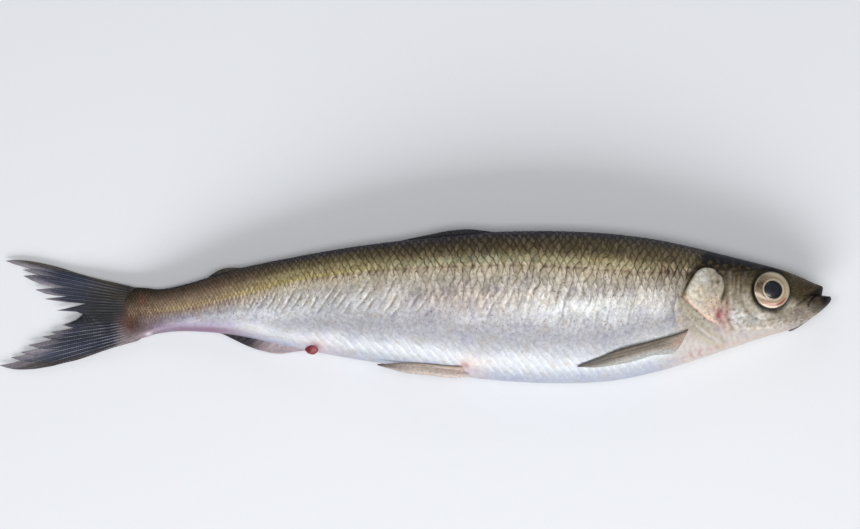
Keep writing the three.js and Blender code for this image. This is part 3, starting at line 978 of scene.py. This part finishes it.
def skin_material():
    nodes = Nodes("fish_skin")
    where = nodes.millimetres()
    lattice = nodes.parts(nodes.attribute("lattice").outputs["Vector"])
    finish = nodes.parts(nodes.attribute("finish").outputs["Vector"])
    tint = nodes.attribute("tint").outputs["Color"]
    outline, silver, specks = finish
    ahead, across, chance = lattice_nodes(nodes, lattice[0], lattice[1])

    dull = 1.0 - nodes.between(silver, 0.08, 0.2)
    width = 0.12 + nodes.noise(where, 1.3) * 0.2 + dull * 0.1
    # The scale's own dark margin, just ahead of its free edge.
    at_edge = 1.0 - nodes.between(ahead, 0.0, width)
    # Painted shadow on the scale beneath, just behind each free edge.
    behind = nodes.between(ahead, 0.86, 1.0)
    edge_line_and_shadow = nodes.math("MAXIMUM", at_edge, behind)
    patchy = nodes.between(nodes.noise(where, 2.4, 4.0, 0.6), 0.28, 0.55)
    leaning = across * lattice[2] * 0.9
    leaning = nodes.math("ADD", leaning, 0.72, clamp=True)
    # Scale edge lines: partly the scales' own dark margins and partly painted shadow under each free edge.
    dark = edge_line_and_shadow * outline * patchy * leaning
    thin_line = nodes.mix(nodes.between(silver, 0.14, 0.3), rgba((44, 36, 22)), rgba((92, 72, 38)))
    colour = nodes.mix(dark * 0.93, tint, thin_line)

    shade = nodes.math("SUBTRACT", 0.7, chance, clamp=True) * outline
    colour = nodes.mix(shade * 0.5, colour, rgba((120, 112, 96)), "MULTIPLY")
    # A painted highlight in the middle of each scale, stronger where the skin is more silver.
    middle = nodes.between(ahead, 0.12, 0.4) - nodes.between(ahead, 0.45, 0.85)
    bright = middle * (0.35 + chance)
    band = 0.2 + nodes.between(silver, 0.05, 0.14) * 0.5
    scale_glint = bright * outline * band
    colour = nodes.mix(scale_glint, colour, rgba((220, 196, 164)), "SCREEN")

    hue = nodes.noise(where, 3.4, 2.0)
    cool = nodes.between(hue, 0.52, 0.72) * 0.3
    colour = nodes.mix(cool, colour, rgba((206, 198, 236)), "MULTIPLY")
    warm = nodes.between(hue, 0.48, 0.28) * 0.4
    colour = nodes.mix(warm, colour, rgba((242, 224, 204)), "MULTIPLY")
    mottle = nodes.noise(where, 0.9, 5.0, 0.68)
    spots = nodes.mix(nodes.between(mottle, 0.32, 0.66), rgba((140, 134, 128)), rgba((255, 255, 255)))
    grainy = 0.14 + nodes.math("MAXIMUM", outline, specks) * 0.4
    colour = nodes.mix(grainy, colour, spots, "MULTIPLY")
    for pitch, size, share in ((1.35, 0.17, 0.5), (0.8, 0.16, 0.66)):
        distance, luck = nodes.voronoi(where, pitch)
        dot = 1.0 - nodes.between(distance, size * 0.5, size)
        chosen = nodes.math("GREATER_THAN", nodes.parts(luck)[0], share)
        spotted = dot * chosen * specks
        colour = nodes.mix(spotted * 0.9, colour, rgba((60, 44, 30)))

    fine = nodes.noise(where, 0.45, 3.0)
    smoother = nodes.math("SUBTRACT", 1.0, silver * 2.0, clamp=True)
    raised = (outline + 0.25) * smoother
    relief = (1.0 - ahead) * raised
    height = relief + fine * 0.2 - at_edge * raised * 0.3
    return nodes.set(
        base_color=colour,
        metallic=silver,
        roughness=0.48 - silver * 0.6 + mottle * 0.16,
        normal=nodes.bump(height, 0.06),
        coat_weight=0.06,
        coat_roughness=0.15,
        specular_ior_level=0.13,
    )


# ---- Pieces: body -----------------------------------------------------------------------------

# How far forward the mouth's front may reach at each height: the upper jaw's blunt front, the
# gape behind it, and the lower jaw's longer tip.
MOUTH_HEIGHTS = [2.45, 2.85, 3.05, 3.3, 5.0, 5.7]
MOUTH_FRONT = [188.0, 186.1, 183.9, 184.15, 184.45, 184.1]
MOUTH_ROUNDING = 0.22  # how fast the front falls back towards the sides, per millimetre squared


def make_body():
    skin = Skin()
    ahead, chance = scale_edge(skin.row, skin.column)
    relief = head_relief(skin) + trunk_relief(skin, ahead, chance)
    rings = skin.points + outward(skin.points) * relief[..., None]
    rings[..., 2] = np.maximum(rings[..., 2], 0.0)
    sideways = rings[..., 2] - section_at(rings[..., 0])[3]
    front = np.interp(rings[..., 1], MOUTH_HEIGHTS, MOUTH_FRONT) - MOUTH_ROUNDING * sideways**2
    rings[..., 0] = np.minimum(rings[..., 0], front)
    ends = [np.array([*back, half + clear]) for back, _, half, clear in map(profiles, (0.0, 1.0))]
    fields = {
        "tint": skin_tint(skin),
        "lattice": np.stack([skin.row, skin.column, outline_lean(skin)], -1),
        "finish": skin_finish(skin),
    }
    return closed_tube("body_skin", rings, ends, fields, skin_material())


# ---- Pieces: eyes -----------------------------------------------------------------------------

EYE_PROFILE = [  # distance from the eye's axis and height above its rim, in millimetres
    (0.25, 0.92), (0.95, 0.88), (1.7, 0.77), (2.2, 0.64), (2.42, 0.56), (2.52, 0.45), (2.7, 0.48),
    (3.4, 0.43), (4.1, 0.29), (4.6, 0.12), (4.95, -0.1), (5.1, -0.5), (4.9, -1.0), (3.7, -1.8),
]
EYE_CROWN = 0.93  # height of the eye's middle above its rim
EYE_DEPTH = 1.9  # how far its hidden back reaches into the head
EYE_DRAPE = 0.85  # how far the rim follows the curve of the skin, as a share
EYE_RINGS = 60
EYE_AROUND = 96
PUPIL_SHIFT = 0.3  # how far the pupil lies in front of the eye's centre


def eye_axes(side):
    """The eye's centre and three axes: towards the snout, towards the back, and outward."""
    x, y = EYE_CENTRE
    r = EYE_RADIUS
    slope_x = (flank_height(x + r, y, side) - flank_height(x - r, y, side)) / (2 * r)
    slope_y = (flank_height(x, y + r, side) - flank_height(x, y - r, side)) / (2 * r)
    ahead = np.array([1, 0, slope_x]) / np.hypot(1, slope_x)
    out = np.cross([1, 0, slope_x], [0, 1, slope_y]) * side
    out = out / np.linalg.norm(out)
    up = np.cross(out, ahead) * side
    height = (flank_height(x + r, y, side) + flank_height(x - r, y, side)) / 2
    height = mix(height, flank_height(x, y, side), 0.6)
    return np.array([x, y, height]), ahead, up, out


def eye_tint(radius, angle):
    """Colours of the iris and pupil, with a painted bluish reflection in the pupil. The angle is 0 towards
    the snout and rises to the back.
    """
    inner = np.hypot(radius * np.cos(angle) - PUPIL_SHIFT, radius * np.sin(angle))
    tint = plain(radius, (138, 117, 86))
    streaks = noise(angle * 7, radius * 0.9, 1.6, 11)
    forward = smooth(-0.6, 0.8, np.cos(angle - 0.5))
    below = smooth(0.0, 0.9, np.cos(angle + 2.0))
    upper_front = smooth(-0.1, 0.9, np.cos(angle - 0.6))
    lower = smooth(0.35, 0.85, np.cos(angle + 1.35))
    pupil = 1 - smooth(2.4, 2.54, inner + 0.1 * np.cos(angle + 0.8))
    return blend_colours(tint, [
        ((80, 64, 44), (0.65 + 0.35 * streaks) * (1 - 0.75 * forward)),
        ((206, 188, 160), 0.6 * forward),
        ((206, 182, 156), 0.55 * below * smooth(2.7, 3.1, radius)),
        ((236, 220, 192), 0.85 * bell(inner - 2.76, 0.22)),
        ((234, 216, 182), 0.75 * upper_front * bell(radius - 4.1, 0.5)),
        ((216, 158, 142), 0.6 * lower * bell(radius - 4.0, 0.4)),
        ((128, 8, 26), 0.95 * smooth(0.6, 0.97, np.cos(angle + 1.25)) * bell(radius - 4.15, 0.2)),
        ((214, 200, 168), 0.6 * bell(radius - 4.62, 0.12)),
        ((30, 24, 18), smooth(4.68, 4.88, radius)),
        ((14, 14, 18), pupil),
        # A painted bluish reflection ring in the pupil.
        ((44, 46, 56), 0.7 * pupil * bell(radius - 1.2, 0.8)),
    ])


def eye_material():
    nodes = Nodes("fish_eye")
    colour = nodes.attribute("tint").outputs["Color"]
    grain = nodes.noise(nodes.millimetres(), 0.3, 3.0)
    shaded = nodes.mix(nodes.between(grain, 0.35, 0.7) * 0.25, colour,
                       rgba((120, 108, 84)), "MULTIPLY")
    return nodes.set(
        base_color=shaded,
        metallic=0.15,
        roughness=0.3,
        coat_weight=0.7,
        coat_roughness=0.08,
        normal=nodes.bump(grain, 0.02),
    )


def make_eye(name, side, material):
    profile = curve(EYE_PROFILE, np.linspace(0, 1, EYE_RINGS))
    angle = np.arange(EYE_AROUND) / EYE_AROUND * 2 * np.pi
    centre, ahead, up, out = eye_axes(side)
    radius = profile[:, 0, None] * np.ones_like(angle)
    rings = centre + radius[..., None] * (np.cos(angle)[:, None] * ahead + np.sin(angle)[:, None] * up)
    sag = flank_height(rings[..., 0], rings[..., 1], side) - rings[..., 2]
    rings = rings + profile[:, 1, None, None] * out
    rings[..., 2] += EYE_DRAPE * sag * smooth(0.3, 1.0, radius / EYE_RADIUS)
    ends = [centre + EYE_CROWN * out, centre - EYE_DEPTH * out]
    if side > 0:
        rings = rings[:, ::-1]
        angle = angle[::-1]
    fields = {"tint": eye_tint(radius, np.broadcast_to(angle, radius.shape))}
    return closed_tube(name, rings, ends, fields, material)


# ---- Pieces: fins -----------------------------------------------------------------------------

FLOOR_GAP = 0.02  # kept between a fin and the surface below, in millimetres
FOLDED_ALONG = 90  # grid points along a folded fin
CELLS_PER_RAY = 8
RIDGE_ALONG = 110  # grid points along and across a fin in the middle plane
RIDGE_ACROSS = 14


def blade(name, middle, half, tint, finish, material):
    """A thin closed blade: middle is a grid of points, along by across, and half its thickness."""
    lift = np.zeros_like(middle)
    lift[..., 2] = half
    upper = middle + lift
    lower = (middle - lift)[:, ::-1]
    rings = np.concatenate([upper, lower], 1)
    rings[..., 2] = np.maximum(rings[..., 2], 0.0)
    fields = {
        "tint": np.concatenate([tint, tint[:, ::-1]], 1),
        "finish": np.concatenate([finish, finish[:, ::-1]], 1),
    }
    return closed_tube(name, rings, None, fields, material)


def ray(t, count):
    """1 on the line of a fin ray and 0 between two."""
    return 0.5 + 0.5 * np.cos(2 * np.pi * count * t)


TAIL_ROOT = [(4.0, 4.3), (4.0, -7.4)]  # upper and lower end of the fin's root
TAIL_APEX = (25.0, -1.2)  # the rays fan out from about here
TAIL_TOP = [(4.0, 4.3), (0.5, 5.4), (-2.5, 6.1), (-9.0, 7.6), (-14.1, 9.0), (-18.1, 10.3),
            (-22.1, 11.3), (-26.1, 12.1), (-30.3, 12.5), (-33.3, 12.3)]
TAIL_BOTTOM = [(4.0, -7.4), (1.5, -9.0), (-1.7, -9.9), (-6.9, -11.4), (-14.9, -14.1), (-19.7, -15.3),
               (-24.5, -16.4), (-29.4, -16.7), (-32.2, -16.4), (-35.0, -15.6)]
TAIL_MARGIN = [  # the torn rear edge, from its upper to its lower corner
    (-33.3, 12.3), (-31.0, 11.4), (-28.9, 10.8), (-26.1, 10.0), (-22.0, 8.9),
    (-28.9, 9.9), (-25.2, 8.7), (-22.9, 7.9), (-19.0, 6.9),
    (-22.9, 7.4), (-25.2, 7.9), (-28.6, 8.3), (-26.5, 7.2), (-24.2, 6.2), (-19.1, 4.9), (-15.5, 4.5),
    (-22.9, 4.8), (-25.4, 4.6), (-22.6, 3.5), (-20.0, 3.0), (-17.0, 2.8),
    (-19.7, 2.5), (-22.9, 2.1), (-19.7, 1.6), (-16.5, 1.2), (-11.5, 0.9),
    (-13.3, 0.45), (-16.5, -0.3), (-19.6, -1.0), (-14.3, -1.2), (-12.6, -2.0), (-14.4, -3.5),
    (-18.0, -4.9), (-12.8, -4.9), (-16.5, -5.9), (-21.4, -6.8), (-15.6, -6.5), (-21.3, -7.6),
    (-23.7, -8.0), (-17.2, -7.9), (-22.9, -9.3), (-27.2, -10.2), (-19.6, -9.8), (-26.1, -11.6),
    (-29.2, -12.1), (-23.8, -11.7), (-29.4, -13.1), (-31.9, -13.5), (-25.6, -13.2), (-31.0, -14.9),
    (-35.0, -15.6),
]
TAIL_MARGIN_CELL = 0.5
TAIL_ALONG = 110
TAIL_RAYS = 19
TAIL_REACH = 34.0


def tail_margin():
    """Points of the torn rear edge, and where on the root the ray to each of them starts."""
    corners = np.array(TAIL_MARGIN)
    lengths = np.hypot(*np.diff(corners, axis=0).T)
    travelled = np.concatenate([[0], np.cumsum(lengths)])
    at = np.linspace(0, travelled[-1], int(travelled[-1] / TAIL_MARGIN_CELL))
    margin = np.stack([np.interp(at, travelled, corners[:, k]) for k in (0, 1)], -1)
    fan = np.arctan2(margin[:, 1] - TAIL_APEX[1], TAIL_APEX[0] - margin[:, 0])
    across = np.maximum.accumulate((fan[0] - fan) / (fan[0] - fan[-1]))
    return margin, np.linspace(0, 1, len(across)) * 0.02 + across * 0.98


def bulge(edge, along):
    """How far a curved edge lies off the straight line between its ends."""
    line = curve(edge, along)
    return line - (line[0] + (line[-1] - line[0]) * along[:, None])


def make_tail_fin(material):
    margin, across = tail_margin()
    root = mix(np.array(TAIL_ROOT[0]), np.array(TAIL_ROOT[1]), across[:, None])
    steps = np.linspace(0, 1, TAIL_ALONG)
    along = steps[:, None]
    flat = root[None] + (margin - root)[None] * along[..., None]
    share = np.clip(across, 0, 1)[None, :, None]
    flat = flat + bulge(TAIL_TOP, steps)[:, None] * (1 - share) ** 2.5
    flat = flat + bulge(TAIL_BOTTOM, steps)[:, None] * share**2.5
    x, y = flat[..., 0], flat[..., 1]
    out = np.clip(-x / TAIL_REACH, 0, 1)
    lift = section_at(np.array(2.0))[3]
    middle = mix(lift, 0.25, out**0.7) + out * (0.3 + 0.3 * np.sin(1.1 * y + 0.5) + 0.2 * np.sin(0.4 * y))
    fan = np.arctan2(y - TAIL_APEX[1], TAIL_APEX[0] - x)
    fan = (fan[-1, 0] - fan) / (fan[-1, 0] - fan[-1, -1])
    rays = tail_rays(fan, x)
    ridges = mix(0.7, rays, smooth(0, -7, x))
    half = mix(1.5, 0.15, np.clip(out + 0.05, 0, 1) ** 0.5) / 2 * (0.55 + 0.45 * ridges)
    half = np.maximum(half * smooth(1.02, 0.9, along), 0.03)
    middle = np.maximum(middle, half + FLOOR_GAP)
    tint = tail_tint(x, y, along, across, fan, rays)
    # Where the painted highlights on the ray segments are strongest: the lower lobe, short of its tips.
    ray_glint_share = smooth(0.45, 0.75, across) * smooth(4, -4, x) * smooth(-30, -24, x)
    finish = np.stack([0.25 + 0.75 * ray_glint_share, -x + 0.2 * np.sin(fan * 120), rays], -1)
    points = np.concatenate([flat, middle[..., None]], -1)
    return blade("tail_fin", points, half, tint, finish, material)


def tail_rays(fan, x):
    """1 on a fin ray and 0 between two; each ray splits in two, and in two again, outwards."""
    once = ray(fan, TAIL_RAYS)
    twice = ray(fan, 2 * TAIL_RAYS)
    fourfold = ray(fan, 4 * TAIL_RAYS)
    split = mix(once, 0.35 * once + 0.65 * twice, smooth(-6, -14, x))
    return mix(split, 0.2 * once + 0.35 * twice + 0.45 * fourfold, smooth(-16, -24, x))


def tail_tint(x, y, along, across, fan, rays):
    tint = plain(x, (26, 31, 44))
    chance = np.sin(np.round(fan * TAIL_RAYS) * 7.7) * 0.5 + 0.5
    strength = (0.5 + 0.5 * chance) * rays**1.5
    centre = np.hypot((x + 8) * 0.5, y + 2.4)
    tips = smooth(0.82, 0.97, along) * smooth(-14, -22, x)
    tint = blend_colours(tint, [
        ((94, 102, 130), 0.75 * strength),
        ((122, 122, 144), 0.55 * smooth(-17, -30, x) * (0.5 + 0.5 * rays)),
        ((20, 21, 21), 0.85 * bell(centre, 4.8)),
        ((34, 32, 28), 0.55 * smooth(-14, -5, x) * smooth(-4.5, 0.0, y)),
        ((62, 52, 32), 0.85 * bell(across, 0.03)),
        ((70, 58, 48), 0.7 * bell(1 - across, 0.03)),
        ((156, 150, 158), 0.7 * tips),
        ((130, 100, 74), 0.6 * bell(along - 1.0, 0.012)),
        ((60, 53, 38), 0.6 * smooth(-14, -3, x) * smooth(0.5, 3.5, y)),
    ])
    fleshy = np.maximum(smooth(-7, 0.5, x) * smooth(0.5, 3.0, y), smooth(-4.8, -1.6, x + 0.6 * rays))
    fleshy = np.maximum(fleshy, smooth(-4.5, 1.5, x) * smooth(-5.5, -8.5, y))
    between_rays = smooth(1.0, -6.0, x) * (1 - rays)
    return mix(tint, root_colours(x, y), (0.95 * fleshy * (1 - 0.7 * between_rays))[..., None])


def fin_material(name, pale):
    """Fin membrane with rays and pale dashes of painted highlight on the ray segments. finish holds the
    painted highlights' strength, the distance out and the rays.
    """
    nodes = Nodes(name)
    where = nodes.millimetres()
    finish = nodes.parts(nodes.attribute("finish").outputs["Vector"])
    tint = nodes.attribute("tint").outputs["Color"]
    joints = nodes.math("FRACT", finish[1] * 1.7)
    segment = nodes.between(joints, 0.1, 0.4) * nodes.between(joints, 1.0, 0.7)
    on_ray = nodes.between(finish[2], 0.72, 0.98)
    patchy = nodes.between(nodes.noise(where, 3.0, 2.0), 0.35, 0.6)
    # Painted highlights on the ray segments, in the pale colour.
    ray_glint = on_ray * segment * patchy
    ray_glint = ray_glint * finish[0] * 0.7
    colour = nodes.mix(ray_glint, tint, rgba(pale))
    grain = nodes.noise(where, 0.7, 4.0, 0.6)
    shade = nodes.mix(nodes.between(grain, 0.3, 0.7), rgba((120, 114, 110)), rgba((255, 255, 255)))
    colour = nodes.mix(0.38, colour, shade, "MULTIPLY")
    height = finish[2] * 0.6 + grain * 0.4
    return nodes.set(
        base_color=colour,
        roughness=0.42 + grain * 0.2,
        normal=nodes.bump(height, 0.08),
        coat_weight=0.06,
        coat_roughness=0.2,
        specular_ior_level=0.25,
    )


# The paired fins' upper and lower edges in side view, from base to tip.
PECTORAL_UPPER = [(149.2, -5.2), (145.5, -6.9), (139.1, -8.7), (130.4, -11.0), (124.5, -13.4),
                  (118.8, -15.6)]
PECTORAL_LOWER = [(145.6, -12.6), (142.6, -13.0), (138.1, -13.2), (132.5, -14.6), (124.5, -15.9),
                  (118.8, -15.75)]
PELVIC_UPPER = [(89.4, -15.5), (85.8, -15.6), (79.0, -15.0), (73.8, -14.7), (69.5, -14.9), (66.0, -15.2)]
PELVIC_LOWER = [(90.4, -18.4), (86.2, -18.8), (79.7, -18.1), (73.8, -17.5), (69.5, -16.4), (66.0, -15.4)]


def make_folded_fin(name, upper, lower, side, rays, paint, material):
    """A fin folded back on the flank, between an upper and a lower edge in side view."""
    along = np.linspace(0, 1, FOLDED_ALONG)[:, None]
    across = np.linspace(0, 1, CELLS_PER_RAY * rays + 1)[None, :]
    top = curve(upper, along[:, 0])[:, None]
    low = curve(lower, along[:, 0])[:, None]
    flat = mix(top, low, across[..., None])
    x, y = flat[..., 0], flat[..., 1]
    ridges = ray(across, rays) * np.ones_like(x)
    half = mix(0.34, 0.08, along) * (0.55 + 0.45 * ridges)
    half = half * np.sqrt(np.clip(1 - (2 * across - 1) ** 6, 0.02, 1)) * smooth(1.03, 0.85, along)
    half = half * mix(1.0, 0.35, smooth(0.5, 1.0, across))
    rise = smooth(0.0, 0.14, along) - 0.5 * smooth(0.7, 1.0, across) * smooth(0.9, 0.3, along)
    lift = mix(-0.55, 0.3, rise) + 0.15 * along * np.ones_like(x)
    z = flank_height(x, y, side, 0.93) + side * lift
    if side < 0:
        z = np.maximum(z, half + FLOOR_GAP)
    points = np.concatenate([flat, z[..., None]], -1)
    finish = np.stack(np.broadcast_arrays(0.12, along * 30, ridges), -1)
    tint = paint(x, along, across, ridges)
    return blade(name, points, np.maximum(half, 0.025), tint, finish, material)


def pectoral_tint(x, along, across, ridges):
    tint = plain(x, (168, 157, 142))
    streaks = 0.5 + 0.5 * np.cos(2 * np.pi * (4.5 * across + 0.35 * np.sin(9 * along)))
    dusky = smooth(0.12, 0.4, along) * smooth(0.75, 0.3, across - 0.3 * smooth(0.4, 0.9, along))
    return blend_colours(tint, [
        ((88, 78, 64), dusky * (0.6 + 0.3 * streaks)),
        ((78, 78, 84), 0.7 * smooth(0.55, 0.85, along) * (0.4 + 0.6 * streaks) * dusky),
        ((196, 150, 132), 0.6 * bell(along - 0.1, 0.1) * bell(across - 0.45, 0.35)),
        ((172, 175, 175), 0.9 * smooth(0.45, 0.9, across) * smooth(1.0, 0.5, along)),
        ((178, 160, 150), 0.85 * smooth(0.16, 0.02, along) * smooth(0.1, 0.25, across)),
        ((50, 42, 28), 0.9 * bell(across, 0.11) * smooth(0.0, 0.06, along)),
        ((120, 110, 98), 0.2 * ridges * smooth(0.9, 0.5, across)),
    ])


def pelvic_tint(x, along, across, ridges):
    tint = plain(x, (206, 192, 184))
    dusky = smooth(0.45, 0.95, along) * smooth(1.2, 0.5, across)
    return blend_colours(tint, [
        ((80, 74, 76), 0.85 * dusky),
        ((204, 160, 152), 0.5 * smooth(0.35, 0.05, along) * smooth(1.0, 0.2, across)),
        ((196, 184, 186), 0.9 * smooth(0.12, 0.0, along)),
        ((128, 104, 80), 0.75 * bell(across - 0.05, 0.1)),
        ((176, 150, 122), 0.5 * bell(across - 0.35, 0.06)),
        ((160, 150, 144), 0.2 * ridges),
    ])


def make_ridge_fin(name, ridge, front, rear, height, rays, sink, colours, material, thickness=0.9):
    """A fin in the fish's middle plane: on the back (1) or on the belly (-1).

    height gives how far it stands off the body's edge along its length, front to rear.
    """
    along = np.linspace(0, 1, RIDGE_ALONG)[:, None]
    across = np.linspace(0, 1, RIDGE_ACROSS)[None, :]
    x = mix(front, rear, along) * np.ones_like(across)
    back, belly, _, lift = section_at(x)
    edge = back if ridge > 0 else belly
    stand = curve(np.array(height)[:, None], along[:, 0])[:, 0][:, None]
    y = edge + ridge * ((stand + sink) * across - sink)
    x = x - 1.3 * across * stand
    ridges = ray(along - 0.05 * across, rays) * np.ones_like(x)
    half = thickness / 2 * (1 - 0.75 * across) * (0.6 + 0.4 * ridges)
    half = half * smooth(-0.02, 0.08, along) * smooth(1.02, 0.92, along)
    points = np.stack([x, y, lift + 0.3 * across * stand], -1)
    low, high, tip = (linear(colour) for colour in colours)
    tint = mix(low, high, np.clip(across * 1.4, 0, 1)[..., None]) * np.ones_like(x)[..., None]
    tint = mix(tint, tip, smooth(0.3, 0.62, along)[..., None] * 0.96)
    finish = np.stack(np.broadcast_arrays(0.1, across * 3, ridges), -1)
    return blade(name, points, np.maximum(half, 0.02), tint, finish, material)


VENT_CENTRE = (49.0, -10.7)
VENT_HALF_AXIS = np.array([2.1, 0.6, 0.0])
VENT_END = np.array([2.3, 0.65, 0.0])
VENT_RADIUS = 1.85
VENT_RISE = 2.1  # above the body's middle height at VENT_SECTION
VENT_SECTION = 48.5


def make_vent(material):
    """The small red swelling in front of the anal fin."""
    turns = np.arange(48) / 48 * 2 * np.pi
    t = np.linspace(0.06, 0.94, 28)[:, None]
    swell = np.sin(np.pi * t) ** 0.6
    height = float(section_at(np.array(VENT_SECTION))[3]) + VENT_RISE
    centre = np.array([*VENT_CENTRE, height])
    spine = centre + VENT_HALF_AXIS * (1 - 2 * t)[..., None]
    wrinkle = 1 + 0.05 * np.cos(5 * turns + 9 * t)
    ring = np.stack([np.zeros_like(turns), np.cos(turns), np.sin(turns)], -1)
    rings = spine + (VENT_RADIUS * swell * wrinkle)[..., None] * ring[None]
    ends = [centre + VENT_END, centre - VENT_END]
    tint = plain(rings[..., 0], (132, 46, 50))
    # A painted highlight: the top of the swelling is lighter.
    upper = smooth(0.35, 0.9, np.sin(turns))[None]
    tint = blend_colours(tint, [((150, 84, 92), upper * bell(t - 0.4, 0.25))])
    return closed_tube("vent", rings, ends, {"tint": tint, "finish": np.zeros(rings.shape)}, material)


# ---- Stage ------------------------------------------------------------------------------------


FLOOR_DROP = 0.00005  # keeps the floor's surface off the fish's flat underside


def make_floor():
    half = 1.5
    mesh = bpy.data.meshes.new("floor")
    corners = [(-half, -half, 0), (half, -half, 0), (half, half, 0), (-half, half, 0)]
    mesh.from_pydata(corners, [], [(0, 1, 2, 3)])
    mesh.materials.append(Nodes("pale_floor").set(base_color=rgba((232, 234, 238)), roughness=0.7))
    floor = add_object("floor", mesh)
    floor.location.z = -FLOOR_DROP


LIT_PLACE = (0, 0, 0.01)  # the fish's middle, which every light is turned to


def make_light(name, place_at, size, watts):
    light = bpy.data.lights.new(name, "AREA")
    light.shape = "RECTANGLE"
    light.size, light.size_y = size
    light.energy = watts
    lamp = add_object(name, light)
    lamp.location = place_at
    lamp.rotation_euler = (Vector(LIT_PLACE) - Vector(place_at)).to_track_quat("-Z", "Y").to_euler()


def make_lights():
    make_light("key_from_belly_side", (0.05, -0.75, 0.42), (1.1, 0.45), 8.0)
    make_light("top_strip", (0.0, -0.05, 1.0), (0.8, 0.3), 4.2)
    make_light("fill_from_back_side", (-0.2, 0.8, 0.6), (1.0, 0.5), 1.0)
    world = bpy.data.worlds.new("studio")
    world.use_nodes = True
    background = world.node_tree.nodes["Background"].inputs
    background["Color"].default_value = (0.85, 0.87, 0.9, 1)
    background["Strength"].default_value = 0.2
    bpy.context.scene.world = world
    bpy.context.scene.view_settings.view_transform = "Standard"


VIEW_WIDTH = 0.2282  # width of the view at the fish's middle height
VIEW_OFFSET = (0.0035, 0.0113)  # the view's centre from the fish's centre
LENS = 300.0


def make_camera():
    camera = add_object("camera", bpy.data.cameras.new("camera"))
    camera.data.lens = LENS
    centre = (FISH_LOW + FISH_HIGH) / 2
    away = VIEW_WIDTH * LENS / camera.data.sensor_width
    camera.location = (centre.x + VIEW_OFFSET[0], centre.y + VIEW_OFFSET[1], centre.z + away)
    bpy.context.scene.camera = camera


# ---- Build ------------------------------------------------------------------------------------


def keep(piece):
    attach(piece, "root")
    return piece


make_camera()
make_floor()
make_lights()

body = keep(make_body())
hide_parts("fish")

eye_look = eye_material()
# The pale colour is that of the painted highlights on the fins' ray segments.
fin_look = fin_material("fish_fin", (176, 178, 186))
keep(make_eye("eye_right", 1, eye_look))
keep(make_eye("eye_left", -1, eye_look))
keep(make_tail_fin(fin_look))
for side, word in ((1, "right"), (-1, "left")):
    keep(make_folded_fin(f"pectoral_fin_{word}", PECTORAL_UPPER, PECTORAL_LOWER, side, 12, pectoral_tint,
                         fin_look))
    keep(make_folded_fin(f"pelvic_fin_{word}", PELVIC_UPPER, PELVIC_LOWER, side, 9, pelvic_tint,
                         fin_look))
keep(make_ridge_fin("dorsal_fin", 1, 97.5, 71.0, [0.0, 1.0, 1.15, 0.8, 0.4, 0.0], 14, 1.0,
                    ((40, 36, 34), (30, 30, 38), (26, 26, 32)), fin_look))
keep(make_ridge_fin("adipose_fin", 1, 30.0, 20.6, [0.0, 0.5, 0.8, 0.7, 0.4, 0.0], 3, 1.0,
                    ((84, 74, 48), (74, 66, 46), (52, 48, 40)), fin_look))
keep(make_ridge_fin("anal_fin", -1, 47.0, 24.0, [0.2, 1.9, 2.1, 1.7, 0.9, 0.0], 12, 1.2,
                    ((206, 190, 194), (182, 166, 172), (26, 26, 34)), fin_look))
keep(make_vent(fin_look))
keep(make_ridge_fin("gill_flap", -1, 182.0, 175.0, [0.0, 0.7, 1.15, 0.9, 0.0], 4, 0.8,
                    ((60, 62, 72), (96, 104, 122), (120, 118, 122)), fin_look, 0.5))
